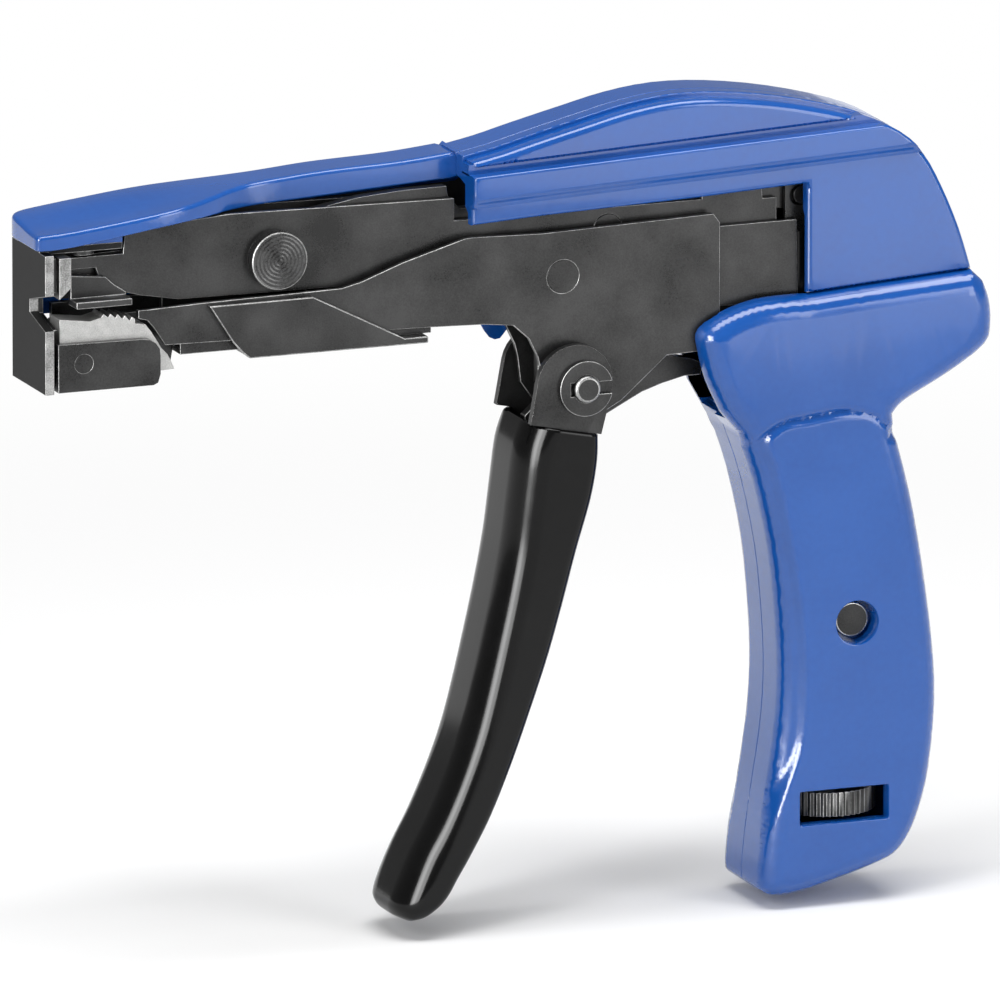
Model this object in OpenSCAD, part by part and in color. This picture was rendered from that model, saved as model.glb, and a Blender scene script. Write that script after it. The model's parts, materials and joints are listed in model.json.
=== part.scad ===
/* [Body] */
// Length of the steel frame plates, which sets the length of the whole tool
frame_l = 125; // [115:1:135]
// Height scale of the upper body, from the tie line to the top of the frame lugs
frame_h = 25; // [23.5:0.5:27]
// Length of the grip below the neck
grip_len = 80; // [70:1:92]
// Length of the trigger below the neck
trigger_len = 81.5; // [70:1:90]
// Casing wall thickness
wall = 2.1; // [1.8:0.1:2.3]
// Far face of the casing from the parting plane
far_depth = 8; // [7.8:0.1:9]
// Near panel above the ridge band
panel_depth = 6.1; // [5.9:0.1:6.5]
// Rim at the full outline, round the near panel
rim_depth = 2.8; // [2:0.1:3.4]
// How far the near panel stands in from the rim
rim_step = 0.6; // [0.3:0.1:0.9]
// Near ridge band
band_depth = 8.3; // [7.8:0.1:9]
// Near side below the ridge band
side_depth = 7.3; // [7.1:0.1:7.7]
// Half width of the bulge and the grip
grip_depth = 10; // [9.8:0.1:11]
// How far the bulge and the grip panel stand out from the grip's front
panel_rise = 0.8; // [0.4:0.1:1]
// Rounding of the far hump and of the ridge band's rear end
hump_round = 1.8; // [0.6:0.1:2]
// Rounding of the near panel, the near side and the grip panel
panel_round = 1.2; // [0.6:0.1:1.3]
// Rounding of the grip's edges
grip_round = 3.6; // [1.5:0.1:4]

/* [Nose] */
// Half width of the nose plate and of the strip above it
nose_half = 7.5; // [7.3:0.1:8]
// Thickness of the front plate
front_t = 1.5; // [1.2:0.1:1.8]
// How far the strip stands out over the front plate
strip_lip = 1.4; // [0.5:0.1:2]
// Height of the tie slot at its closed end
slot_h = 2; // [1.7:0.1:2.2]
// Height of the tie slot at its open side
slot_mouth = 6.2; // [5:0.1:6.6]
// Thickness of the shear guide behind the front plate
guide_t = 1; // [0.8:0.1:1.1]
// Thickness of the cutter blade
blade_t = 2; // [1.6:0.1:2.2]
// Thickness of the strap anvil's sheet
anvil_t = 1.1; // [0.8:0.1:1.2]

/* [Layers] */
// Thickness of the frame plates
frame_t = 1; // [0.8:0.1:1.1]
// Thickness of the cutter lever
lever_t = 2; // [1.6:0.1:2.1]
// Thickness of the trigger arm
arm_t = 2; // [1.6:0.1:2.1]
// Side play between plates that move past each other
play = 0.2; // [0.1:0.05:0.25]
// Thickness of the bar core and of the tail plate
core_t = 1; // [0.8:0.1:1.05]
// Thickness of the pull bar plates
bar_t = 1; // [0.8:0.1:1.05]
// Gap between the pull bar and the casing wall
side_gap = 0.3; // [0.2:0.05:0.5]

/* [Pull bar] */
// Travel of the pull bar at full squeeze
stroke = 11.46; // [9:0.1:11.5]
// Radius of the guide pins
guide_r = 2.7; // [2.2:0.1:2.9]
// Thickness of the guide bracket
bracket_t = 1.1; // [0.9:0.1:1.2]
// Thickness of the pawl carrier
carrier_t = 1.2; // [1:0.1:1.3]
// Width of the pawl
pawl_w = 4.4; // [4:0.1:4.5]
// Radius of the pawl pin
pawl_pin_r = 1.55; // [1.3:0.05:1.8]

/* [Trigger] */
// Distance from the fulcrum to the load pin, in heights of the upper body
arm_share = 1; // [0.96:0.02:1.04]
// Radius of the load pin
load_r = 2.2; // [1.8:0.1:2.4]
// Radius of the fulcrum pin
fulcrum_r = 2.5; // [2:0.1:2.6]
// Rounding of the trigger's front corners
front_round = 5; // [3.5:0.1:5.5]
// Rounding of the trigger's rear corners
rear_round = 2; // [1.5:0.1:2.5]
// Half width of the trigger channel
channel_half = 8.2; // [8.1:0.1:8.6]
// Thickness of the trigger channel's sheet
channel_t = 1.3; // [1:0.1:1.3]
// Thickness of the dipped sleeve
dip_t = 0.8; // [0.6:0.1:1]
// Radius of the retaining clips
clip_r = 4.5; // [4:0.1:4.8]
// Thickness of the retaining clips
clip_t = 0.8; // [0.6:0.1:1]

/* [Cutter] */
// Radius of the lever rivet's shank
rivet_r = 2.5; // [2:0.1:2.8]
// Radius of the lever rivet's flat head
rivet_head_r = 4.7; // [4:0.1:4.8]
// Thickness of the lever rivet's head
rivet_head_t = 2; // [1.4:0.1:2]

/* [Tension adjuster] */
// Radius of the knurled wheel
wheel_r = 8.2; // [7.8:0.1:8.3]
// Height of the knurled wheel
wheel_h = 3.9; // [3.4:0.1:4.2]
// Number of ridges on the wheel
ridges = 48; // [36:2:60]
// Depth of the ridges
ridge_h = 0.4; // [0.2:0.05:0.5]
// Radius of the adjuster screw
screw_r = 2.5; // [2:0.1:2.6]
// Radius of the tension rod
rod_r = 1.6; // [1.4:0.05:1.7]
// Outer radius of the tension spring
spring_r = 2.7; // [2.4:0.1:2.8]
// Wire of the tension spring
spring_wire = 0.9; // [0.6:0.1:1]
// Width of the wheel's window
wheel_win_w = 15; // [14:0.1:15.4]
// Height of the wheel's window
wheel_win_h = 5.4; // [5:0.1:5.6]

/* [Hidden] */
$fn = 64;

blue = [0.16, 0.26, 0.66];
black_steel = [0.17, 0.17, 0.17];
bright_steel = [0.72, 0.72, 0.70];
dip_black = [0.04, 0.04, 0.045];

// Side view scales: the upper body in frame lengths and heights, the grip and
// the trigger in their own lengths below the neck
function deck(s) = [for (p = s) [p[0] * frame_l, p[1] * frame_h]];
function below(s, len) = [for (p = s) [p[0] * frame_l, -frame_h - p[1] * len]];
function spot(s) = [s[0] * frame_l, s[1] * frame_h];

// Smooth curve through the points of an outline
function blend3(a, b, c, d, t) =
  (2 * b + (c - a) * t + (2 * a - 5 * b + 4 * c - d) * t * t + (3 * b - a - 3 * c + d) * t * t * t) / 2;
function smooth(p, n) = let (m = len(p) - 1) concat(
  [for (i = [0:m - 1]) for (k = [0:n - 1])
    blend3(p[max(i - 1, 0)], p[i], p[i + 1], p[min(i + 2, m)], k / n)],
  [p[m]]);

// Layers, measured from the parting plane outward
frame_in = max(lever_t, arm_t) + 2 * play;
frame_out = frame_in + frame_t;
core_in = frame_out + play;
core_out = core_in + core_t;
bar_out = core_out + bar_t;
far_in = bar_out + side_gap;
cut = 1; // overrun of the cuts
pin_play = 0.05; // radial play of a turning pin
slide_play = 0.1; // radial play of a sliding pin

// Pivots
rivet_at = spot([0.323, 0.22]);
load_at = spot([0.728, -0.748]);
arm_r = arm_share * frame_h;
swing = asin(stroke / 2 / arm_r); // half of the trigger's swing
fulcrum_at = load_at + arm_r * [sin(swing), cos(swing)];
slot_drop = arm_r * (1 - cos(swing));
guide_at = spot([0.706, -0.036]);
pawl_at = spot([0.052, -0.312]);
tail_at = spot([1.04, 0.34]);
post_at = spot([0.5, -0.12]);
screw_a = spot([0.688, 0.68]);
screw_b = spot([0.944, 0.8]);
grip_screw_at = below([[1.095, 0.445]], grip_len)[0];
wheel_at = below([[1.078, 0.817]], grip_len)[0];
tie_top = slot_h * 0.85;
tie_low = tie_top - slot_h;

function arc(at, r, from, to, n) = [for (i = [0:n]) let (a = from + (to - from) * i / n) at + r * [cos(a), sin(a)]];
module plate(near, t) translate([0, near + t, 0]) rotate([90, 0, 0]) linear_extrude(t) children();
module rod(at, r, near, far) translate([at[0], far, at[1]]) rotate([90, 0, 0]) cylinder(r = r, h = far - near);
module block(low, high) translate(low) cube(high - low);

// Casing outlines
top_shares = [
  [0.578, 0.775], [0.621, 0.816], [0.672, 0.88], [0.739, 0.96], [0.8, 1.028], [0.864, 1.064],
  [0.936, 1.048], [1.021, 0.98], [1.106, 0.864], [1.158, 0.744], [1.194, 0.576], [1.22, 0.348],
  [1.243, 0.072], [1.26, -0.2]];
bulge_shares = [
  [1.274, -0.28], [1.283, -0.4], [1.286, -0.56], [1.277, -0.7], [1.228, -0.864], [1.168, -1.02],
  [1.151, -1.1]];
back_shares = [
  [1.153, 0.06], [1.175, 0.194], [1.192, 0.335], [1.206, 0.5], [1.21, 0.625], [1.202, 0.761],
  [1.189, 0.845], [1.174, 0.899], [1.154, 0.934], [1.126, 0.953], [1.077, 0.975], [1.026, 0.994],
  [0.992, 1], [0.974, 0.988], [0.968, 0.961], [0.977, 0.831], [0.992, 0.679], [0.998, 0.564],
  [0.995, 0.445], [0.986, 0.299], [0.966, 0.153], [0.942, 0.046]];
near_front_shares = [
  [0.918, -1], [0.898, -0.784], [0.888, -0.592], [0.886, -0.48], [0.898, -0.412],
  [0.918, -0.356], [0.946, -0.308], [0.979, -0.28], [1.034, -0.276]];
window_shares = [[1.034, 0.444], [0.891, 0.412], [0.673, 0.38], [0.578, 0.356]];
far_front_shares = [
  [0.914, -0.9], [0.904, -0.72], [0.888, -0.54], [0.864, -0.412], [0.684, -0.412],
  [0.667, -0.448], [0.656, -0.516], [0.642, -0.504], [0.628, -0.4], [0.608, -0.22],
  [0.56, -0.096], [0.0136, -0.096], [0.0136, 0.436], [0.12, 0.5], [0.24, 0.56], [0.578, 0.62]];
ridge_line_shares = [[0.578, 0.464], [1.19, 0.588]]; // lower edge of the ridge band
step_line_shares = [[1.028, -0.268], [1.1, -0.246], [1.4, -0.16]]; // lower edge of the near side
bulge_low_shares = [[0.85, -1.28], [0.94, -1.19], [0.966, -1.108], [0.993, -1.04], [1.031, -1.012], [1.074, -0.992], [1.1, -1.02], [1.126, -1.072], [1.144, -1.14], [1.3, -1.5]];
panel_front_shares = [[0.973, 0.062], [0.979, 0.085], [0.988, 0.122], [1.004, 0.234], [1.02, 0.384], [1.028, 0.515], [1.026, 0.641], [1.018, 0.715], [0.998, 0.792], [0.977, 0.884], [0.95, 1]];
panel_top_shares = [[1.3, 0.12], [1.15, 0.09], [1.135, 0.06], [1.118, 0.036], [1.1, 0.026], [1.07, 0.024], [1.03, 0.032], [0.998, 0.036], [0.98, 0.05]];

rear_outline = concat(smooth(deck(top_shares), 2), smooth(deck(bulge_shares), 2), smooth(below(back_shares, grip_len), 1));
module near_outline() polygon(concat(rear_outline, smooth(deck(near_front_shares), 2), deck(window_shares)));
module far_outline() polygon(concat(rear_outline, deck(far_front_shares)));
module above(z) translate([-frame_l, z]) square([3 * frame_l, 6 * frame_h]);
module bulge_zone() polygon(deck([
  [0.87, -0.276], [1.034, -0.276], [1.1, -0.252], [1.3, -0.2], [1.4, -6], [0.87, -6]]));
module near_side() intersection() {
  near_outline();
  polygon(concat(deck([[0.5, 0.3], [1.028, 0.3]]), deck(step_line_shares), deck([[1.4, 0.58], [0.9, 0.5], [0.578, 0.52], [0.5, 0.52]])));
}
// Front strip of the grip and the valley under the bulge, round the grip panel
module dent() difference() {
  polygon(concat(deck(bulge_low_shares), below([[1.3, 1.2], [0.85, 1.2]], grip_len)));
  polygon(concat(below(panel_front_shares, grip_len), below([[1.3, 1.1]], grip_len), below(panel_top_shares, grip_len)));
}

// A slab seen from the side, from the parting plane out to a depth, its outer
// edges rounded
module dome(r) rotate([90, 0, 0]) rotate_extrude($fn = 16) polygon(concat([[0, 0]], arc([0, 0], r, 0, 67.5, 3), [[0, r]]));
module round_slab(depth, r) minkowski() {
  plate(r - depth, depth - r) offset(delta = -r) children();
  dome(r);
}
// Near outline less the rim, which ends at the nose
module within_rim() intersection() {
  near_outline();
  for (ahead = [0, 0.05 * frame_l]) translate([-ahead, 0]) offset(delta = -rim_step) near_outline();
}

// Straight moulding along the near side: a ledge on top, rolled under below
ridge_from = spot(ridge_line_shares[0]);
ridge_to = spot(ridge_line_shares[1]);
ridge_tilt = atan2(ridge_to[1] - ridge_from[1], ridge_to[0] - ridge_from[0]);
band_height = 0.214 * frame_h;
band_roll = 0.34 * band_height;
ledge_edge = 0.3; // worn top edge of the ledge
groove_w = 1; // groove between the ledge and the panel
groove_d = 0.5;
ridge_section = concat(
  [[0, 0]],
  [for (a = [0:15:90]) [-side_depth - (band_depth - side_depth) * sin(a), band_roll * (1 - cos(a))]],
  [[-band_depth, band_height - ledge_edge], [ledge_edge - band_depth, band_height], [0, band_height]]);
groove_section = [
  [-band_depth - cut, band_height], [groove_d - panel_depth, band_height],
  [groove_d - panel_depth, band_height + groove_w - ledge_edge], [-band_depth - cut, band_height + groove_w + ledge_edge]];
module along_ridge() translate([ridge_from[0], 0, ridge_from[1]]) rotate([0, -ridge_tilt, 0])
  translate([-0.1 * frame_l, 0, 0]) rotate([90, 0, 90]) linear_extrude(frame_l) children();

// Bulge and grip of one half
module grip_form() difference() {
  round_slab(grip_depth, grip_round) children();
  plate(-grip_depth - cut, panel_rise + cut) dent();
}

// Inner hollow of both halves, and the way in from the front for the plates
module hollow() offset(delta = -wall) far_outline();
module lever_way() polygon(deck([[-0.1, 0.62], [0.7, 0.62], [1.05, 0.6], [1.05, 0.2], [-0.1, 0.2]]));
module bar_way() polygon(deck([
  [-0.1, 0.25], [1.16, 0.25], [1.16, -0.38], [1.03, -0.38], [1.03, -0.66], [0.97, -0.9],
  [0.94, -1.06], [0.84, -1.06], [0.84, -0.66], [-0.1, -0.66]]));

boss_r = 2.2; // bosses round the screws
thread_r = 1.4;
shank_r = 1.5;
recess_r = 3.5;
recess_d = 4; // depth of the grip screw's recess
head_h = 1.6; // height of the grip screw's head
head_play = 0.6;

strip_top_shares = [[-0.0112, 0.532], [0.034, 0.544], [0.1, 0.58], [0.163, 0.62], [0.216, 0.648], [0.31, 0.692], [0.4, 0.728], [0.504, 0.748], [0.582, 0.782]];
strip_low_shares = [[0.582, 0.614], [0.504, 0.594], [0.312, 0.548], [0.24, 0.544], [0.163, 0.528], [0.04, 0.444], [-0.0112, 0.436]];
strip_near_shares = [[-1, 0], [-1, 0.15], [-0.88, 0.19], [-0.56, 0.232], [-0.2, 0.27], [-0.05, 0.3], [0, 0.33], [0, 0.582]];
strip_far_shares = [[1, 0.582], [1, 0.055], [0.95, 0.024], [0.84, 0.004], [0.66, -0.008], [0.45, -0.0112]];
module strip() {
  intersection() {
    plate(-nose_half - cut, nose_half + far_depth + 2 * cut)
      polygon(concat(deck(strip_top_shares), deck(strip_low_shares)));
    linear_extrude(frame_h) polygon(concat(
      [for (a = [180:30:270]) [strip_corner - strip_lip, strip_corner - nose_half] + strip_corner * [cos(a), sin(a)]],
      smooth([for (p = strip_near_shares) [p[1] * frame_l, p[0] * nose_half]], 2),
      [for (p = strip_far_shares) [p[1] * frame_l, p[0] * far_depth]]));
  }
  // pad that the front plate's flange is screwed to
  block([0, -nose_pad, flange_z], [flange_l, nose_pad, 0.5 * frame_h]);
}
strip_corner = 1; // rounding of the strip's near front corner
flange_z = 0.432 * frame_h; // underside of the strip's pad
flange_t = 1.1;
flange_l = 0.112 * frame_l;
nose_pad = 0.64 * nose_half;
nose_screw_x = 0.064 * frame_l;
nose_screw_r = 1.2;
nose_screw_head = 2;

module right_casing() color(blue) {
  difference() {
    union() {
      mirror([0, 1, 0]) round_slab(far_depth, hump_round) intersection() {
        far_outline();
        above(-1.02 * frame_h);
      }
      mirror([0, 1, 0]) grip_form() intersection() {
        far_outline();
        bulge_zone();
      }
    }
    plate(-cut, far_in + cut) {
      hollow();
      lever_way();
      bar_way();
    }
    plate(-cut, grip_depth - wall + cut) intersection() {
      hollow();
      offset(delta = -wall) bulge_zone();
    }
    rod(screw_a, shank_r, 0, far_depth + cut);
    rod(screw_b, shank_r, 0, far_depth + cut);
    rod(rivet_at, rivet_r, 0, far_depth + cut);
    rod(rivet_at, rivet_r + rivet_flange, far_depth - rivet_flange, far_depth + cut);
  }
  difference() {
    strip();
    for (side = [-1, 1]) translate([nose_screw_x, side * nose_pad / 2, 0]) cylinder(r = nose_screw_r, h = 0.5 * frame_h);
  }
  for (at = [screw_a, screw_b]) difference() {
    rod(at, boss_r, frame_out, far_in);
    rod(at, shank_r, 0, far_depth + cut);
  }
  difference() {
    rod(rivet_at, rivet_r + frame_t, frame_out, far_in);
    rod(rivet_at, rivet_r, 0, far_depth + cut);
  }
  difference() {
    rod(grip_screw_at, boss_r, 0, grip_depth - wall);
    rod(grip_screw_at, thread_r, -cut, grip_depth - wall + cut);
  }
}
rivet_flange = 1;

module left_casing() color(blue) {
  difference() {
    union() {
      plate(-rim_depth, rim_depth) intersection() {
        near_outline();
        above(-0.3 * frame_h);
      }
      difference() {
        round_slab(panel_depth, panel_round) offset(delta = -rim_step) intersection() {
          near_outline();
          above(0);
        }
        along_ridge() polygon(groove_section);
      }
      intersection() {
        along_ridge() polygon(ridge_section);
        plate(-band_depth, band_depth) within_rim();
      }
      plate(-side_depth, side_depth) intersection() {
        near_side();
        within_rim();
      }
      grip_form() intersection() {
        near_outline();
        bulge_zone();
      }
    }
    plate(-panel_depth + wall, panel_depth - wall + cut) {
      hollow();
      lever_way();
    }
    plate(-far_in, far_in + cut) bar_way();
    plate(-side_depth + wall, side_depth - wall + cut) intersection() {
      hollow();
      near_side();
    }
    plate(-grip_depth + wall, grip_depth - wall + cut) intersection() {
      hollow();
      offset(delta = -wall) bulge_zone();
    }
    rod(grip_screw_at, recess_r, -grip_depth - cut, -grip_depth + recess_d);
    translate([wheel_at[0] - wheel_win_w / 2, -grip_depth - cut, wheel_at[1] - wheel_win_h / 2])
      cube([wheel_win_w, grip_depth, wheel_win_h]);
  }
  difference() {
    rod(grip_screw_at, recess_r + wall / 2, -grip_depth + wall, -grip_depth + recess_d + wall);
    rod(grip_screw_at, recess_r, -grip_depth - cut, -grip_depth + recess_d);
    rod(grip_screw_at, shank_r, -grip_depth, 0);
  }
  difference() {
    rod(grip_screw_at, boss_r, -grip_depth + recess_d + wall, 0);
    rod(grip_screw_at, shank_r, -grip_depth, 0);
  }
  for (at = [screw_a, screw_b]) difference() {
    rod(at, boss_r, -panel_depth + wall, -frame_out);
    rod(at, thread_r, -panel_depth + wall, 0);
  }
}

// Front plate with the tie slot, and the flange that is screwed under the strip
plate_low = 0.497 * frame_h;
plate_top = 0.404 * frame_h;
slot_end = 0.4; // closed end of the slot, from the middle
module slot_profile(grow) {
  polygon([
    [-slot_end + grow, tie_low - grow], [-slot_end + grow, tie_top + grow],
    [-nose_half - cut, tie_low + (slot_mouth + slot_h) / 2 + grow],
    [-nose_half - cut, tie_low - (slot_mouth - slot_h) / 2 - grow]]);
}
module cross_plate(x, t) translate([x, 0, 0]) rotate([90, 0, 90]) linear_extrude(t) children();
module front_plate() color(black_steel) {
  cross_plate(0, front_t) difference() {
    translate([-nose_half, -plate_low]) square([2 * nose_half, plate_low + plate_top]);
    slot_profile(0);
  }
  difference() {
    block([0, -nose_pad, flange_z - flange_t], [flange_l, nose_pad, flange_z]);
    for (side = [-1, 1]) translate([nose_screw_x, side * nose_pad / 2, 0]) cylinder(r = nose_screw_r, h = frame_h);
  }
}
module shear_guide() color(black_steel) cross_plate(front_t, guide_t) difference() {
  translate([-0.8 * nose_half, -0.1 * frame_h]) square([1.57 * nose_half, 0.47 * frame_h]);
  slot_profile(guide_t / 2);
}
module nose_screws() color(bright_steel) for (side = [-1, 1]) translate([nose_screw_x, side * nose_pad / 2, 0]) {
  translate([0, 0, flange_z - flange_t]) cylinder(r = nose_screw_r, h = 0.5 * frame_h - flange_z + flange_t);
  translate([0, 0, flange_z - flange_t - 0.4 * nose_screw_head]) cylinder(r = nose_screw_head, h = 0.4 * nose_screw_head);
}

// Cutter blade, moved by the tip of the lever in its notch
blade_x = front_t + guide_t + slide_play;
blade_low = tie_top + 0.04 * frame_h;
blade_top = 0.376 * frame_h;
tip_low = 0.26 * frame_h;
tip_high = 0.34 * frame_h;
cut_drop = blade_low - tie_low;
cut_swing = cut_drop / (rivet_at[0] - blade_x - blade_t / 2); // radians
module cutter_blade() color(black_steel) difference() {
  translate([0, 0.75 * nose_half, 0]) rotate([90, 0, 0]) linear_extrude(1.68 * nose_half) polygon([
    [blade_x, blade_low], [blade_x + blade_t, blade_low + 0.9 * blade_t],
    [blade_x + blade_t, blade_top], [blade_x, blade_top]]);
  block([blade_x - cut, -lever_t - 1.5 * play, tip_low - play], [blade_x + blade_t + cut, -play / 2, tip_high + play]);
}

// Frame plates
frame_top_shares = [
  [0.04, 0.34], [0.117, 0.34], [0.12, 0.48], [0.16, 0.504], [0.26, 0.536], [0.565, 0.512],
  [0.565, 0.368], [0.654, 0.368], [0.66, 0.72], [0.672, 0.77], [0.704, 0.77], [0.716, 0.72],
  [0.722, 0.368], [0.902, 0.368], [0.91, 0.84], [0.922, 0.916], [0.966, 0.916], [0.978, 0.84],
  [0.985, 0.34], [1.004, 0.34], [1.004, -0.24], [0.496, -0.24], [0.464, -0.08], [0.408, 0.004],
  [0.192, 0.012], [0.14, 0.06], [0.112, 0.1], [0.088, 0.16], [0.08, 0.264], [0.04, 0.264]];
module frame_outline() difference() {
  polygon(deck(frame_top_shares));
  translate(rivet_at) circle(rivet_r);
  translate(fulcrum_at) circle(fulcrum_r);
  translate(post_at) circle(post_r);
  translate(screw_a) circle(shank_r);
  translate(screw_b) circle(shank_r);
  hull() for (x = [0, stroke]) translate(guide_at + [x, 0]) circle(guide_r + slide_play, $fn = 32);
}
post_r = 1;
module frame_left() color(black_steel) plate(-frame_out, frame_t) frame_outline();
module frame_right() color(black_steel) plate(frame_in, frame_t) frame_outline();
module frame_spacers() color(bright_steel) for (at = [screw_a, screw_b]) difference() {
  rod(at, boss_r, -frame_in, frame_in);
  rod(at, shank_r, -frame_in - cut, frame_in + cut);
}
module body_screws() color(bright_steel) for (at = [screw_a, screw_b]) {
  rod(at, thread_r, -panel_depth + wall + play, far_depth);
  rod(at, boss_r, far_depth, far_depth + 0.6 * boss_r);
}
module lever_rivet() color(black_steel) {
  rod(rivet_at, rivet_head_r, -frame_out - rivet_head_t, -frame_out);
  rod(rivet_at, rivet_r, -frame_out, far_depth - rivet_flange);
  rod(rivet_at, rivet_r + rivet_flange, far_depth - rivet_flange, far_depth);
}
module fulcrum_pin() color(bright_steel) rod(fulcrum_at, fulcrum_r, -frame_out, frame_out);
module spring_post() color(bright_steel) rod(post_at, post_r, -frame_out, frame_out);

// Anvil tab riveted on the left frame plate, its flange over the pawl
anvil_shares = [[0.043, 0.236], [0.09, 0.212], [0.102, 0.156], [0.118, 0.104], [0.118, 0.04], [0.043, 0.04]];
module strap_anvil() color(black_steel) {
  plate(-frame_out - anvil_t, anvil_t) polygon(deck(anvil_shares));
  block([0.043 * frame_l, -nose_half + play, 0.04 * frame_h], [0.118 * frame_l, -frame_out, 0.04 * frame_h + anvil_t]);
}

// Cutter lever between the frame plates, the trigger arm's side left free
lever_shares = [
  [0.021, 0.27], [0.0225, 0.335], [0.038, 0.338], [0.06, 0.342], [0.12, 0.352], [0.24, 0.44],
  [0.323, 0.46], [0.44, 0.56], [0.496, 0.58], [0.558, 0.584], [0.56, 0.516], [0.576, 0.432],
  [0.9, 0.424], [1.04, 0.42], [1.058, 0.4], [1.064, 0.34], [1.06, 0.28], [1.04, 0.24], [0.85, 0.34],
  [0.71, 0.34], [0.62, 0.264], [0.4, 0.08], [0.323, 0.02], [0.24, 0.06], [0.12, 0.17],
  [0.042, 0.24], [0.037, 0.265]];
module cutter_lever() color(black_steel) plate(-lever_t - play, lever_t) difference() {
  polygon(deck(lever_shares));
  translate(rivet_at) circle(rivet_r + pin_play);
  translate(tail_at) circle(tail_r);
}
tail_r = 1.5;
cheek_t = 1;
fork_slot = 0.6; // length of the fork's slot for the pin
module rod_pin() color(bright_steel) rod(tail_at, tail_r, -lever_t - 2 * play - cheek_t + play / 2, cheek_t + play / 2);

// Pull bar
bar_shares = [
  [0.144, -0.016], [0.216, -0.004], [0.372, 0.008], [0.406, 0.012], [0.433, 0.044], [0.488, 0.144],
  [0.572, 0.264], [0.584, 0.27], [0.678, 0.256], [0.911, 0.288], [0.92, 0.228], [0.92, -0.5],
  [0.9, -0.6], [0.848, -0.608], [0.786, -0.876], [0.752, -0.968], [0.7, -0.944], [0.68, -0.8],
  [0.676, -0.632], [0.672, -0.548], [0.66, -0.424], [0.639, -0.328], [0.599, -0.304], [0.528, -0.292]];
bar_nose_left_shares = [[0.167, -0.256], [0.152, -0.14], [0.143, -0.086], [0.131, -0.07], [0.131, -0.016]];
bar_nose_right_shares = [[0.044, -0.25], [0.044, -0.016]];
module load_slot() hull() for (d = [0, slot_drop]) translate(load_at - [0, d]) circle(load_r + slide_play, $fn = 32);
module bar_outline(nose) difference() {
  polygon(concat(deck(bar_shares), deck(nose)));
  load_slot();
  translate(guide_at) circle(guide_r);
}
module bar_left() color(black_steel) plate(-bar_out, bar_t) bar_outline(bar_nose_left_shares);
module bar_right() color(black_steel) plate(core_out, bar_t) bar_outline(bar_nose_right_shares);
core_low = 0.336 * frame_h;
core_from = 0.19 * frame_l;
core_to = 0.53 * frame_l;
core_wall_shares = [[0.19, -0.336], [0.19, -0.02], [0.36, -0.01], [0.4, -0.1], [0.53, -0.2], [0.53, -0.336]];
module bar_core() color(black_steel) {
  for (y = [-core_out, core_in]) plate(y, core_t) polygon(deck(core_wall_shares));
  block([core_from, -core_out, -core_low], [core_to, core_out, -core_low + core_t]);
}
tail_shares = [[0.69, 0.192], [1.028, 0.196], [1.03, -0.34], [0.69, -0.3]];
module bar_tail() color(black_steel) plate(-core_out, core_t) difference() {
  polygon(deck(tail_shares));
  translate(guide_at) circle(guide_r);
}
module guide_pins() color(black_steel) {
  rod(guide_at, guide_r, -bar_out, -frame_in - play / 2);
  rod(guide_at, guide_r, frame_in + play / 2, bar_out);
}
bracket_shares = [[0.224, -0.02], [0.364, -0.016], [0.428, -0.18], [0.488, -0.336], [0.488, -0.38], [0.278, -0.38], [0.268, -0.336], [0.256, -0.27]];
module guide_bracket() color(black_steel) {
  plate(-bar_out - bracket_t, bracket_t) polygon(deck(bracket_shares));
  block([0.278 * frame_l, -bar_out - bracket_t, -core_low - bracket_t], [0.52 * frame_l, bar_out, -core_low]);
}

// Pawl and its folded carrier
pawl_shares = [
  [0.023, -0.17], [0.023, -0.026], [0.051, -0.042], [0.064, -0.052], [0.077, -0.036]];
pawl_back_shares = [
  [0.125, -0.064], [0.125, -0.092], [0.139, -0.104], [0.147, -0.156], [0.16, -0.264], [0.169, -0.312],
  [0.178, -0.408], [0.158, -0.412], [0.152, -0.38], [0.132, -0.32], [0.09, -0.32]];
tooth_from_share = 0.079;
tooth_pitch_share = 0.0096;
tooth_h = 0.6;
teeth = 5;
function tooth_z(i) = frame_h * (-0.012 - 0.0022 * i * i);
pawl_teeth = [for (i = [0:teeth - 1]) for (e = [0, 1])
  [frame_l * (tooth_from_share + tooth_pitch_share * (i + 0.35 * e)), tooth_z(i) - tooth_h * (1 - e)]];
hub_wall = 1.3;
hub_r = pawl_pin_r + hub_wall;
hub_from = -30; // angles of the hub's rounding
hub_to = -190;
pawl_near = nose_half - carrier_t - play / 2;
module pawl() color(bright_steel) difference() {
  plate(-pawl_near, pawl_w) polygon(concat(
    deck(pawl_shares), pawl_teeth, deck(pawl_back_shares), arc(pawl_at, hub_r, hub_from, hub_to, 16)));
  rod(pawl_at, pawl_pin_r + pin_play, -nose_half, 0);
}
carrier_low = 0.49 * frame_h;
carrier_shares = [
  [0.0175, -0.49], [0.0175, -0.178], [0.132, -0.186], [0.141, -0.192], [0.149, -0.216], [0.1545, -0.256],
  [0.1555, -0.3], [0.1555, -0.42], [0.152, -0.476], [0.146, -0.49]];
carrier_leg_shares = [
  [0.0175, -0.49], [0.0175, -0.178], [0.024, -0.178], [0.024, -0.06], [0.28, -0.06], [0.28, -0.296],
  [0.19, -0.296], [0.186, -0.4], [0.1555, -0.42], [0.152, -0.476], [0.146, -0.49]];
leg_near = pawl_near - pawl_w - play / 2;
module pawl_carrier() color(black_steel) difference() {
  union() {
    plate(-nose_half, carrier_t) polygon(deck(carrier_shares));
    plate(-leg_near, carrier_t) polygon(deck(carrier_leg_shares));
    block([0.0175 * frame_l, -nose_half, -carrier_low], [0.146 * frame_l, -leg_near + carrier_t, -carrier_low + carrier_t]);
  }
  rod(pawl_at, pawl_pin_r, -nose_half - cut, 0);
}
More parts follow.
